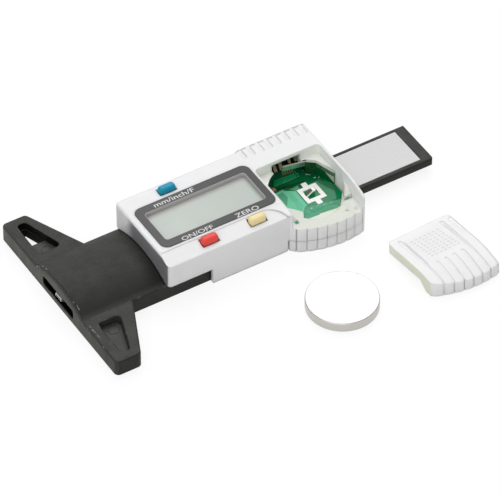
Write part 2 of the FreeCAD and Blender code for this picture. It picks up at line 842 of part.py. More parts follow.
def far_rib_grooves():
    """Short grooves that carry the ribs of the far grip up over the edge of the deck."""
    low = D.housing_height.value - D.far_rib_depth.value
    lead = D.grip_front.value + D.grip_lead.value
    pitch = (D.housing_rear.value - D.grip_corner.value - lead) / RIB_COUNT
    edge = D.grip_far_crest.value - D.far_shoulder_radius.value / 2
    start = edge - D.far_rib_length.value
    radius = D.far_rib_width.value / 2
    grooves = []
    for index in range(RIB_COUNT + 1):
        x = lead + index * pitch
        low_end = Part.makeCylinder(radius, CLEAR, V(x, start, low))
        run = Part.makeBox(2 * radius, CLEAR * 2, CLEAR, V(x - radius, start, low))
        grooves.append(low_end.fuse(run))
    flooded = grip_section(0, D.grip_front.value, D.housing_rear.value)
    skin = flooded.cut(grip_section(D.far_rib_depth.value, D.grip_front.value - 1,
                                    D.housing_rear.value + 1))
    return feature("far_rib_grooves", Part.Compound(grooves).common(skin))


def button_places():
    """Name, centre and deck height of each button."""
    strip_top = D.housing_height - D.crease_step
    slope = (strip_top - near_edge_height) / (half_housing - D.near_crease)
    near_deck = strip_top - slope * (D.near_button_line - D.near_crease)
    return [("power_button", first_button, -D.near_button_line, near_deck),
            ("zero_button", second_button, -D.near_button_line, near_deck),
            ("units_button", first_button, D.far_button_line, D.housing_height)]


def make_top_housing():
    front = front_section("display_shell", as_size(0), (D.housing_front, D.bay_front), 0)
    grip_shape = grip_prism(0, True, D.parting_height.value, D.housing_height.value + 1)
    grip_shape = grip_shape.common(grip_section(0, D.grip_front.value, D.housing_rear.value))
    grip = feature("grip_shell", grip_shape)
    outer = fuse("housing_outer", [front, grip, deck_arch()])
    cavity = front_section("display_cavity", D.housing_wall,
                           (inner_front, D.bay_front - D.housing_wall), -1)
    half_well = half_housing - D.housing_wall
    low_cavity = block("board_cavity", (track_end - 1, bay_rear), (-half_well, half_well),
                       (-1, board_top + D.board_fit))
    far_cavity = block("far_cavity",
                       (D.bay_front - D.housing_wall * 2, D.housing_rear - D.housing_wall),
                       (D.bay_far + D.housing_wall, half_well), (-1, deck_under))
    arch = crown_solid("front_arch", (D.housing_front - 1, inner_front + 1), D.button_fit)
    under_arch = block("front_arch_low", (D.housing_front - 1, inner_front + 1),
                       (-half_stem - D.button_fit, half_stem + D.button_fit), (-1, D.foot_height))
    skirt = block("skirt_step", (D.housing_front - 1, D.skirt_end),
                  (-half_housing - 1, half_housing + 1), (-1, D.skirt_height))
    split = block("rear_split", (D.grip_front - D.split_gap, D.housing_rear + 1),
                  (-D.grip_near_crest - CLEAR, D.grip_far_crest + CLEAR), (-1, D.parting_height))
    outlet = block("slider_outlet", (bay_rear - 1, D.housing_rear + 1),
                   (-half_channel, half_channel), (-1, D.foot_height))
    window = block("window_hole", (D.window_front, D.window_front + D.window_length),
                   (-D.window_width / 2, D.window_width / 2), (deck_under - 1, D.housing_height + 1))
    seat = block("bezel_seat", (D.bezel_front, D.bezel_front + D.bezel_length),
                 (-D.bezel_width / 2, D.bezel_width / 2),
                 (D.housing_height - D.bezel_depth, D.housing_height + 1))
    seat_rounded = round_edges("bezel_seat_rounded", seat, D.bezel_corner_radius, upright)
    tools = [cavity, low_cavity, far_cavity, arch, under_arch, skirt, split, outlet, window,
             seat_rounded, far_rib_grooves(),
             feature("near_rib_slots", rib_slots(0, D.housing_height.value))] + bay_tools()
    for name, x, y, deck in button_places():
        half_x = D.button_length / 2 + D.button_fit
        half_y = D.button_width / 2 + D.button_fit
        tools.append(block(name + "_hole", (x - half_x, x + half_x), (y - half_y, y + half_y),
                           (deck - D.deck_thickness - 1, D.housing_height + 1)))
    shell = cut("housing_shell", outer, tools)
    bosses = []
    pilots = []
    for index, (x, y) in enumerate(front_screws() + rear_screws()):
        at_rear = float(x) > D.grip_front.value
        low = D.parting_height if at_rear else D.foot_height
        if not at_rear or float(y) > 0:
            bosses.append(rod("boss_%d" % index, (x, y, low), D.boss_radius,
                              deck_under + OVERLAP - low))
        pilots.append(rod("pilot_%d" % index, (x, y, low - 1), D.screw_radius + D.screw_fit / 2,
                          D.screw_length + D.screw_fit + 1 - low))
    solid = cut("top_housing_solid", fuse("housing_bossed", [shell] + bosses), pilots)
    return finish(solid, "top_housing")


def make_rear_lower_shell():
    """Lower half of the grip section, under the battery bay."""
    tray = feature("lower_tray", grip_prism(0, True, 0, D.parting_height.value))
    inner = feature("lower_hollow", grip_prism(D.housing_wall.value, False, D.channel_floor.value,
                                               D.parting_height.value + 1))
    channel = block("lower_channel", (D.grip_front - CLEAR, D.housing_rear + CLEAR),
                    (-half_channel, half_channel), (D.channel_floor, D.foot_height))
    tray_open = cut("lower_open", tray, [inner, channel])
    bosses = [rod("lower_boss_%d" % index, (x, y, D.channel_floor / 2), D.boss_radius,
                  D.parting_height - D.channel_floor / 2)
              for index, (x, y) in enumerate(rear_screws())]
    rails = [block("lower_rail_%d" % index, (D.grip_front, D.housing_rear),
                   (low, low + D.housing_wall), (D.channel_floor / 2, D.parting_height))
             for index, low in enumerate((half_channel, -half_channel - D.housing_wall))]
    solid = fuse("lower_ribbed", [tray_open] + bosses + rails)
    slots = feature("lower_rib_slots", rib_slots(-1, D.housing_height.value))
    tools = [slots] + screw_holes("lower", rear_screws(), D.parting_height)
    return finish(cut("rear_lower_solid", solid, tools), "rear_lower_shell")


# ---------------------------------------------------------------- display

def make_bezel():
    body = new_body("display_bezel")
    fit = D.bezel_fit
    low = D.housing_height - D.bezel_depth
    outline = rectangle((D.bezel_front + fit, D.bezel_front + D.bezel_length - fit),
                        (-D.bezel_width / 2 + fit, D.bezel_width / 2 - fit))
    pad(body, "bezel_plate", "XY_Plane", outline, low, D.bezel_depth + D.bezel_proud)
    dress(body, "Fillet", "bezel_corners", D.bezel_corner_radius, upright)
    opening = rectangle((D.window_front, D.window_front + D.window_length),
                        (-D.window_width / 2, D.window_width / 2))
    pocket(body, "bezel_window", "XY_Plane", opening, low, D.bezel_depth * 3)
    reach = D.bezel_front.value + 0.1
    dress(body, "Fillet", "window_corners", D.window_corner_radius,
          lambda edge: upright(edge) and abs(edge.CenterOfMass.y) < D.bezel_width.value / 2 - 1
          and edge.CenterOfMass.x > reach)
    return finish(body, "display_bezel")


def make_display():
    middle = D.window_front + D.window_length / 2
    x_range = (middle - D.lcd_length / 2, middle + D.lcd_length / 2)
    half = D.lcd_width / 2
    top = deck_under - D.lcd_gap
    low = top - D.lcd_thickness
    panel = new_body("lcd_panel")
    pad(panel, "lcd_glass", "XY_Plane", rectangle(x_range, (-half, half)), low, D.lcd_thickness)
    finish(panel, "lcd_panel")
    frame = new_body("lcd_frame")
    pad(frame, "frame_block", "XY_Plane", rectangle(x_range, (-half, half)), board_top,
        low - board_top)
    wall = D.lcd_frame_wall
    pocket(frame, "frame_well", "XY_Plane",
           rectangle((x_range[0] + wall, x_range[1] - wall), (wall - half, half - wall)),
           board_top, D.housing_height)
    finish(frame, "lcd_frame")
    strips = new_body("elastomer_strips")
    line = half - wall - D.elastomer_width
    strip_x = (middle - D.elastomer_length / 2, middle + D.elastomer_length / 2)
    pad(strips, "strip_far", "XY_Plane", rectangle(strip_x, (line, line + D.elastomer_width)),
        board_top, low - board_top)
    doc.recompute()
    twin = strips.Shape.copy()
    twin = twin.mirror(V(), Y_AXIS)
    pair = feature("elastomers", Part.Compound([strips.Shape.copy(), twin]))
    finish(pair, "elastomer_strips")


# ---------------------------------------------------------------- circuit board

def make_board():
    body = new_body("main_pcb")
    fit = D.board_fit
    half = D.board_width / 2
    front = inner_front + fit
    rear = bay_rear - fit
    pad(body, "board_plate", "XY_Plane", rectangle((front, rear), (-half, half)), board_bottom,
        D.board_thickness)
    holes = [rod("board_hole_%d" % index, (x, y, board_bottom - 1), D.boss_radius + D.board_fit,
                 D.board_thickness + 2)
             for index, (x, y) in enumerate(front_screws() + rear_screws())]
    stem_notch = crown_solid("board_notch", (inner_front - 1, stem_end + fit), D.button_fit)
    finish(cut("board_solid", body, holes + [stem_notch]), "main_pcb")
    middle = D.window_front + D.window_length / 2
    shoulder = D.chip_radius - D.chip_slope
    chip = new_body("controller_chip")
    revolved(chip, "chip_blob", [(0, 0), (D.chip_radius, 0), (shoulder, D.chip_height),
                                 (0, D.chip_height)])
    place(chip, middle, 0, board_top)
    finish(chip, "controller_chip")


def make_domes():
    """Snap discs on the board, one under each button."""
    discs = [rod(name + "_dome", (x, y, board_top), D.dome_radius, D.dome_height)
             for name, x, y, _deck in button_places()]
    doc.recompute()
    finish(feature("domes", Part.Compound([disc.Shape.copy() for disc in discs])), "switch_domes")


def make_contacts():
    low = board_top
    sheet_top = low + D.contact_sheet
    body = new_body("negative_contact")
    half = D.negative_width / 2
    hole = D.negative_opening / 2
    x = recess_x + D.negative_lead
    y = recess_y + D.negative_lift
    tab = D.negative_tab / 2
    outline = [(x - half, y - half), (x - tab, y - half), (x - tab, y - half - D.negative_tab),
               (x + tab, y - half - D.negative_tab), (x + tab, y - half), (x + half, y - half),
               (x + half, y + half), (x + tab, y + half), (x + tab, y + half + D.negative_tab),
               (x - tab, y + half + D.negative_tab), (x - tab, y + half), (x - half, y + half)]
    pad(body, "contact_ring", "XY_Plane", outline, low, D.contact_sheet)
    pocket(body, "contact_opening", "XY_Plane",
           rectangle((x - hole, x + hole), (y - hole, y + hole)), low - 1, D.contact_sheet * 9)
    rise = D.finger_rise
    thick = D.contact_sheet
    tip = x + hole / 2
    root = x - hole - D.finger_root
    finger_top = sheet_top + rise
    finger = [(root, low), (x - hole, low), (x, finger_top - thick * 1.5),
              (tip, finger_top - thick), (tip, finger_top), (x, finger_top - thick / 2),
              (root + D.finger_root / 2, sheet_top), (root, sheet_top)]
    # the sketch plane XZ faces -Y, so its lift counts from y = 0 towards -Y
    pad(body, "contact_finger", "XZ_Plane", finger, -y - D.finger_width / 2, D.finger_width)
    finish(body, "negative_contact")
    finish(feature("contact_band", contact_strip()), "positive_contact")


def contact_strip():
    """The positive strip: three flats along the far wall of the seat, two down to the board."""
    top = D.positive_top.value
    band_low = top - D.positive_band.value
    centre = V(recess_x.value, recess_y.value, 0)
    corners = strip_corners(0)
    inner = [corner + (centre - corner).normalize() * D.contact_sheet.value for corner in corners]
    flats = []
    for index, low in enumerate((band_low, board_top.value, board_top.value)):
        ring = [corners[index], corners[index + 1], inner[index + 1], inner[index]]
        face = Part.Face(Part.makePolygon(ring + ring[:1]))
        face.translate(V(0, 0, low))
        flats.append(face.extrude(V(0, 0, top - low)))
    return flats[0].fuse(flats[1:]).removeSplitter()


# ---------------------------------------------------------------- buttons

def make_button(name, x, y, deck):
    """A cap with rounded edges, a flange under the deck and a stem over its dome."""
    body = new_body(name)
    half_x = D.button_length / 2
    half_y = D.button_width / 2
    flange = D.button_flange
    flange_top = deck - D.deck_thickness - D.board_fit
    if float(y) < 0:
        flange_top = flange_top - D.near_flange_drop
    cap_top = deck + D.button_proud
    pad(body, name + "_cap", "XY_Plane",
        rectangle((x - half_x, x + half_x), (y - half_y, y + half_y)),
        flange_top, cap_top - flange_top)
    top = cap_top.value
    dress(body, "Fillet", name + "_corners", D.button_edge_radius, upright)
    dress(body, "Fillet", name + "_rounding", D.button_edge_radius,
          lambda edge: edge.BoundBox.ZLength < 0.001 and abs(edge.CenterOfMass.z - top) < 0.001)
    pad(body, name + "_flange", "XY_Plane",
        rectangle((x - half_x - flange, x + half_x + flange), (y - half_y, y + half_y)),
        flange_top - D.button_flange_thickness, D.button_flange_thickness)
    stem_low = board_top + D.dome_height + D.button_travel
    stem_half = D.button_stem_radius
    pad(body, name + "_stem", "XY_Plane",
        rectangle((x - stem_half, x + stem_half), (y - stem_half, y + stem_half)), stem_low,
        flange_top - D.button_flange_thickness - stem_low)
    finish(body, name)


# ---------------------------------------------------------------- slider

def make_slider():
    low = D.channel_floor + D.bar_lift
    top = low + D.bar_thickness
    half = D.bar_width / 2
    body = new_body("slider_bar")
    pad(body, "bar_blank", "XY_Plane", rectangle((D.bar_front, D.bar_tail), (-half, half)),
        low, D.bar_thickness)
    dress(body, "Fillet", "bar_edges", D.bar_edge_radius,
          lambda edge: edge.BoundBox.XLength > 5 or (upright(edge) and
                                                     edge.CenterOfMass.x > D.bar_tail.value - 1))
    stop_half = D.stop_width / 2
    pad(body, "bar_stop", "XY_Plane",
        rectangle((D.stop_place, D.stop_place + D.stop_length), (-stop_half, stop_half)),
        low - D.bar_lift - D.stop_drop, D.stop_drop + D.bar_lift)
    strip_low = top - D.strip_thickness - D.label_thickness
    fit = D.pocket_fit
    pocket(body, "strip_seat", "XY_Plane",
           rectangle((D.label_front - fit, D.label_tail + fit),
                     (-D.label_width / 2 - fit, D.label_width / 2 + fit)),
           strip_low, D.bar_thickness)
    probe_low = low + (D.bar_thickness - D.probe_thickness) / 2 - fit
    pocket(body, "probe_seat", "XY_Plane",
           rectangle((D.bar_front - 1, D.bar_front + D.probe_seat),
                     (-D.probe_width / 2 - fit, D.probe_width / 2 + fit)),
           probe_low, D.probe_thickness + fit * 2)
    finish(body, "slider_bar")
    strip = new_body("scale_strip")
    strip_outline = rectangle((D.label_front, D.label_tail),
                              (-D.label_width / 2, D.label_width / 2))
    pad(strip, "strip_plate", "XY_Plane", strip_outline, strip_low, D.strip_thickness)
    finish(strip, "scale_strip")
    label = new_body("scale_label")
    pad(label, "label_film", "XY_Plane", strip_outline, strip_low + D.strip_thickness,
        D.label_thickness)
    finish(label, "scale_label")
    probe = new_body("probe")
    pad(probe, "probe_blade", "XY_Plane",
        rectangle((D.probe_setback, D.bar_front + D.probe_seat - fit),
                  (-D.probe_width / 2, D.probe_width / 2)),
        probe_low + fit, D.probe_thickness)
    dress(probe, "Chamfer", "probe_tip", as_size(0.2),
          lambda edge: edge.BoundBox.XMax < D.probe_setback.value + TOUCH and
          edge.BoundBox.YLength > 1)
    finish(probe, "probe")


def make_drag_spring():
    """A bowed leaf in the rail beside the slider, which keeps the slider where it is put."""
    half = D.spring_length / 2
    bow = D.spring_bow - D.spring_sheet
    radius = (half * half + bow * bow) / (bow * 2)
    middle = D.spring_place + half + D.pocket_fit
    low = D.channel_floor + D.bar_lift + D.pocket_fit
    outer_y = half_channel + D.spring_bow - D.spring_sheet - bow
    centre = (middle, outer_y + radius, low)
    outer = rod("spring_outer", centre, radius, D.spring_width)
    inner = rod("spring_inner", centre, radius - D.spring_sheet, D.spring_width)
    keep = block("spring_keep", (middle - half, middle + half),
                 (outer_y - 1, half_channel + D.spring_bow - D.pocket_fit / 2),
                 (low, low + D.spring_width))
    finish(common("spring_leaf", [cut("spring_ring", outer, [inner]), keep]), "drag_spring")


# ---------------------------------------------------------------- loose cell and cover

def make_cell():
    """Button cell lying on its cap side: steel can on top, gasket, and the smaller cap below."""
    radius = cell_radius
    high = D.cell_thickness
    cap = D.cap_radius
    sheet_metal = D.contact_sheet
    lip = cap + D.gasket_width
    low = D.cap_stand
    rounding = D.can_rounding
    can = new_body("cell_can")
    revolved(can, "can_turned",
             [(0, high - sheet_metal), (radius - sheet_metal, high - sheet_metal),
              (radius - sheet_metal, sheet_metal), (lip, sheet_metal), (lip, low),
              (radius - rounding, low), (radius, low + rounding), (radius, high - rounding),
              (radius - rounding, high), (0, high)])
    place(can, D.cell_place, -D.cell_line, 0)
    finish(can, "cell_can")
    gasket = new_body("cell_gasket")
    revolved(gasket, "gasket_turned",
             [(cap, sheet_metal), (radius - sheet_metal, sheet_metal),
              (radius - sheet_metal, D.can_skirt), (cap, D.can_skirt)])
    place(gasket, D.cell_place, -D.cell_line, 0)
    finish(gasket, "cell_gasket")
    cap_body = new_body("cell_cap")
    revolved(cap_body, "cap_turned",
             [(0, 0), (cap - rounding, 0), (cap, rounding), (cap, high - sheet_metal * 2),
              (0, high - sheet_metal * 2)])
    place(cap_body, D.cell_place, -D.cell_line, 0)
    finish(cap_body, "cell_cap")


def far_uprights(solid):
    """The upright edges of a block on its far side."""
    return [edge for edge in solid.Edges
            if upright(edge) and edge.CenterOfMass.y > solid.CenterOfMass.y]


def cover_groove(x, left, right, start):
    """Plan of one groove of the cover, narrowing from its rounded start to the slot in the skirt."""
    reach = D.grip_near_crest.value + CLEAR
    low = D.rim_height.value - CLEAR
    high = D.housing_height.value + CLEAR
    narrow = D.rib_slot_width.value / 2
    edge = -D.grip_near_end.value
    points = [V(x - left, start, low), V(x - narrow, edge, low), V(x - narrow, -reach, low),
              V(x + narrow, -reach, low), V(x + narrow, edge, low), V(x + right, start, low)]
    bow = V(x + (right - left) / 2, start + (left + right) / 2, low)
    edges = [Part.LineSegment(*pair).toShape() for pair in zip(points, points[1:])]
    edges.append(Part.Arc(points[-1], bow, points[0]).toShape())
    return Part.Face(Part.Wire(edges)).extrude(V(0, 0, high - low))


def cover_grooves():
    """Grooves of the lid: short ones in the middle, long ones along both sides."""
    lead = D.grip_front.value + D.grip_lead.value
    pitch = (D.housing_rear.value - D.grip_corner.value - lead) / RIB_COUNT
    half = D.cover_rib_width.value / 2
    full = D.bay_far.value - D.cover_groove_margin.value
    plans = [cover_groove(lead + index * pitch, half, half, -D.cover_rib_start.value)
             for index in SHORT_GROOVES]
    plans += [cover_groove(lead + index * pitch, D.cover_side_groove.value,
                           D.rib_slot_width.value / 2, full) for index in LONG_GROOVES]
    return plans


def make_cover():
    """Cover of the bay: a thin lid with low side walls and a ribbed skirt on the near side."""
    gap = D.cover_gap.value
    wall = D.cover_wall.value
    x_low = D.bay_front.value + gap
    x_high = bay_rear.value - gap
    reach = D.grip_near_crest.value + CLEAR
    low = D.rim_height.value + gap
    top = D.housing_height.value
    window = Part.makeBox(x_high - x_low, reach + D.bay_far.value - gap, top + 1 - low,
                          V(x_low, -reach, low))
    window = window.makeFillet(D.bay_corner_radius.value - gap, far_uprights(window))
    outer = grip_prism(0, True, 0, top + 1).common(grip_section(0, x_low - 1, x_high + 1))
    outer = outer.common(window)
    hollow = Part.makeBox(x_high - x_low - 2 * wall, reach + D.bay_far.value - gap - wall,
                          top - low + CLEAR, V(x_low + wall, -reach, low - CLEAR))
    hollow = hollow.makeFillet(LEAST_RADIUS, far_uprights(hollow))
    hollow = hollow.common(grip_section(wall, x_low - 1, x_high + 1))
    hollow = hollow.common(grip_prism(wall + D.rib_proud.value, False, -CLEAR, top))
    side_low = top - D.cover_side_depth.value
    drop_start = -D.ledge_drop_start.value - gap
    drop_end = -D.ledge_drop_end.value - gap
    trim_points = [V(x_low - 1, drop_start, side_low), V(x_low - 1, reach, side_low),
                   V(x_low - 1, reach, 0), V(x_low - 1, drop_end, 0), V(x_low - 1, drop_end, low)]
    trim = Part.Face(Part.makePolygon(trim_points + [trim_points[0]]))
    trim = trim.extrude(V(x_high - x_low + 2, 0, 0))
    core = grip_section(D.cover_rib_depth.value, x_low - 2, x_high + 2)
    shape = outer.cut(hollow).cut(trim).cut(rib_slots(0, top + 1, 1))
    for groove in cover_grooves():
        shape = shape.cut(groove.cut(core))
    tongue_x = recess_x.value - D.finger_window_lead.value + D.cover_fit_play.value
    tongue_top = deck_under.value - D.cover_fit_play.value
    far = D.bay_far.value - gap
    tongue = Part.makeBox(D.cover_tongue_length.value, wall + D.cover_tongue_reach.value,
                          D.cover_tongue_thickness.value,
                          V(tongue_x, far - wall, tongue_top - D.cover_tongue_thickness.value))
    shape = shape.fuse(tongue).removeSplitter()
    # laid on the table: tipped until the far edge and the skirt both touch, then turned a little
    tip = math.degrees(math.atan2(side_low - low, far + D.grip_near_end.value))
    shape.rotate(V(x_low, far, top), X_AXIS, -tip)
    shape.rotate(V(x_low, far, top), Z_AXIS, D.cover_yaw.value)
    box = shape.optimalBoundingBox(False)
    shape.translate(V(D.cover_place.value - x_low, -D.cover_line.value - far, -box.ZMin))
    finish(feature("cover_shape", shape), "battery_cover")


# ---------------------------------------------------------------- build and write

def check_and_write():
    doc.recompute()
    os.makedirs("parts", exist_ok=True)
    for item in doc.Objects:
        bad = [state for state in item.State if state in ("Invalid", "Error")]
        if bad:
            raise RuntimeError("%s is %s" % (item.Name, bad))
    for item in kept:
        shape = item.Shape
        if shape.isNull() or not shape.isValid() or not shape.Solids:
            raise RuntimeError("%s has no valid solid" % item.Label)
        if any(solid.Volume <= 0 for solid in shape.Solids):
            raise RuntimeError("%s has an empty solid" % item.Label)
    for item in kept:
        item.Shape.exportStep(os.path.join("parts", item.Label + ".step"))


make_base_frame()
make_screws()
make_top_housing()
make_rear_lower_shell()
make_bezel()
make_display()
make_board()
make_domes()
make_contacts()
for button in button_places():
    make_button(*button)
make_slider()
make_drag_spring()
make_cell()
make_cover()
check_and_write()
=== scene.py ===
import bmesh
import bpy
import json
import math
from mathutils import Matrix, Vector
from mathutils.bvhtree import BVHTree


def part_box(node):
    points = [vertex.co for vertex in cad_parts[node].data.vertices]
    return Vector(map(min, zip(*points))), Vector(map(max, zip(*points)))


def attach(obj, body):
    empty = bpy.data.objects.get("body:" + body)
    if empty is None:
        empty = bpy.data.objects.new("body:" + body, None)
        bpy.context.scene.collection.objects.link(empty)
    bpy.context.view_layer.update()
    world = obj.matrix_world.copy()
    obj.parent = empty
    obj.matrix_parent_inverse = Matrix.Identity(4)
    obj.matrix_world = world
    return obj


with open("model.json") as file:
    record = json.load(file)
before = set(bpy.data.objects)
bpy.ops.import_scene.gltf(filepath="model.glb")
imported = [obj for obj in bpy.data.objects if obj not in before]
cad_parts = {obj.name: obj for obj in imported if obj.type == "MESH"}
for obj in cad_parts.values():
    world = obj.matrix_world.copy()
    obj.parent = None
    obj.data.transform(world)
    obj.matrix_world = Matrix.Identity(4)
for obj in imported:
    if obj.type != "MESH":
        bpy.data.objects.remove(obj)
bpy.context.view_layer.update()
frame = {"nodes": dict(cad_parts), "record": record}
NODES = frame["nodes"]
MM = 0.001
scene = bpy.context.scene

# X runs from the foot's front edge to the bar's tail, Y from the near side to the far side, Z up.
# Places and lengths are in mm, angles in degrees, and a noise's scale counts cells in a metre.


def srgb(red, green, blue):
    """A colour as the eye reads it, 0 to 255, in linear light."""
    def linear(value):
        value = value / 255
        return value / 12.92 if value <= 0.04045 else ((value + 0.055) / 1.055) ** 2.4
    return (linear(red), linear(green), linear(blue), 1.0)


# ---------------------------------------------------------------- places that the finishes and their painted light and shade follow
# Each pair is where a change starts and where it ends, or the two ends of a stretch.

FOOT_EDGE_X = (0.1, 1.1)
FOOT_EDGE_Z = (4.4, 4.9)
FOOT_FRONT_Y = (-8.0, -25.0)
CROWN_Y = (12.0, -12.0)
CROWN_Z = (5.0, 5.8)
POCKET_X = (1.3, 12.6)
NEAR_POCKET_Y = (-28.6, -15.0)
FAR_POCKET_Y = (15.0, 28.6)
NEAR_WING_Y = (-10.0, -11.0)
FAR_WING_Y = (10.0, 11.0)
POCKET_FLOOR_Z = (2.0, 2.9)
WING_BACK_X = (4.8, 5.6)
CHANNEL_X = (0.2, 60.0)
CHANNEL_Y = (-7.85, 9.1)
CHANNEL_Z = (0.7, 4.52)

HOUSING_FRONT_X = (26.2, 25.9)
FRONT_SHADE_Y = (8.8, 4.0)
FRONT_SHEEN_Y = (10.0, 4.5)
PALE_CREVICE_SHADE_Y = (8.0, 10.0)
HOUSING_SKIRT_X = (64.5, 65.0)
HOUSING_SKIRT_Y = (-15.0, -16.0)
FAR_EDGE_Y = (13.0, 14.0)
FAR_GRIP_X = (60.0, 64.0)
FAR_GRIP_Y = (14.85, 15.05)
BAY_X = (64.05, 84.25)
BAY_Y = (-19.0, 5.6)
BAY_MOUTH_Z = (13.70, 13.85)
BAY_LEDGE_Z = (8.8, 9.2)
BAY_REAR_X = (80.6, 83.2)
BAY_SKIRT_Y = (-15.0, -14.8)
SEAT_WALL_Z = (5.8, 10.45)
SEAT_SHELF_X = (64.0, 70.4)
SEAT_SHELF_Y = (-1.0, 5.3)
SEAT_CHEEK_X = (79.0, 80.0)
SEAT_CHEEK_Y = (4.3, 12.0)

# The cover's wall on the bay's side lies at this X where Y is 0, and leans by the slope.
COVER_WALL_X = (85.0, 85.2)
COVER_WALL_SLOPE = 0.0419
COVER_SKIRT_Y = (-50.6, -51.0)

DISPLAY_X = (36.0, 60.0)
DISPLAY_SHADE_Y = (3.0, 5.8)
BEZEL_FADE_X = (32.0, 64.0)

PROBE_FACE_Y = (-1.18, 1.18)
PROBE_FACE_Z = (2.85, 3.45)

STRIP_FIRST_X = (75.2, 79.0)
STRIP_EDGE_Z = (9.9, 10.0)
STRIP_FOOT_Z = (8.52, 8.58)
# The board's edge, painted on the strip's last face, is a slanting line at this height where Y is
# 0.
STRIP_BOARD_LINE = (8.94, 9.02)
STRIP_BOARD_SLOPE = -0.722
TONGUE_Y = (-4.3, -4.0)
LIT_FINGERS_Y = (7.6, 8.2)

CELL_LOW, CELL_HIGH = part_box("cell_can")
CELL_CENTRE = ((CELL_LOW.x + CELL_HIGH.x) / 2 / MM, (CELL_LOW.y + CELL_HIGH.y) / 2 / MM)
CELL_TOP = CELL_HIGH.z / MM


# ---------------------------------------------------------------- materials

class Nodes:
    """A node tree under construction."""

    def __init__(self, tree):
        self.tree = tree
        tree.nodes.clear()

    def add(self, kind, **values):
        node = self.tree.nodes.new(kind)
        for key, value in values.items():
            setattr(node, key, value)
        return node

    def link(self, source, target):
        self.tree.links.new(source, target)

    def feed(self, socket, value):
        """Links a socket, or sets its plain value."""
        if isinstance(value, bpy.types.NodeSocket):
            self.link(value, socket)
        else:
            socket.default_value = value

    def math(self, operation, first, second=0.0):
        node = self.add("ShaderNodeMath", operation=operation)
        self.feed(node.inputs[0], first)
        self.feed(node.inputs[1], second)
        return node.outputs[0]

    def both(self, *masks):
        """The product of several masks and shares: 1 where each of them is 1."""
        result = masks[0]
        for mask in masks[1:]:
            result = self.math("MULTIPLY", result, mask)
        return result

    def either(self, *masks):
        """The largest of several masks: 1 where any of them is 1."""
        result = masks[0]
        for mask in masks[1:]:
            result = self.math("MAXIMUM", result, mask)
        return result

    def span(self, value, low, high, new_low=0.0, new_high=1.0, shape="SMOOTHSTEP"):
        """The value carried from one range to another and held at the ends."""
        node = self.add("ShaderNodeMapRange", interpolation_type=shape)
        self.feed(node.inputs[0], value)
        for index, number in enumerate((low, high, new_low, new_high), start=1):
            node.inputs[index].default_value = number
        return node.outputs[0]

    def ramp(self, axis, places, before=0.0, past=1.0):
        """A smooth change along an axis, from one place to another."""
        start, end = places
        return self.span(axis, start * MM, end * MM, before, past)

    def within(self, axis, places, soft=0.1):
        """1 between two places on an axis, with soft ends."""
        low, high = places
        rise = self.ramp(axis, (low - soft, low + soft))
        fall = self.ramp(axis, (high - soft, high + soft), 1.0, 0.0)
        return self.both(rise, fall)

    def shader(self, kind, **inputs):
        """A plain shader with its inputs set, by its first output."""
        node = self.add(kind)
        for name, value in inputs.items():
            self.feed(node.inputs[name], value)
        return node.outputs[0]


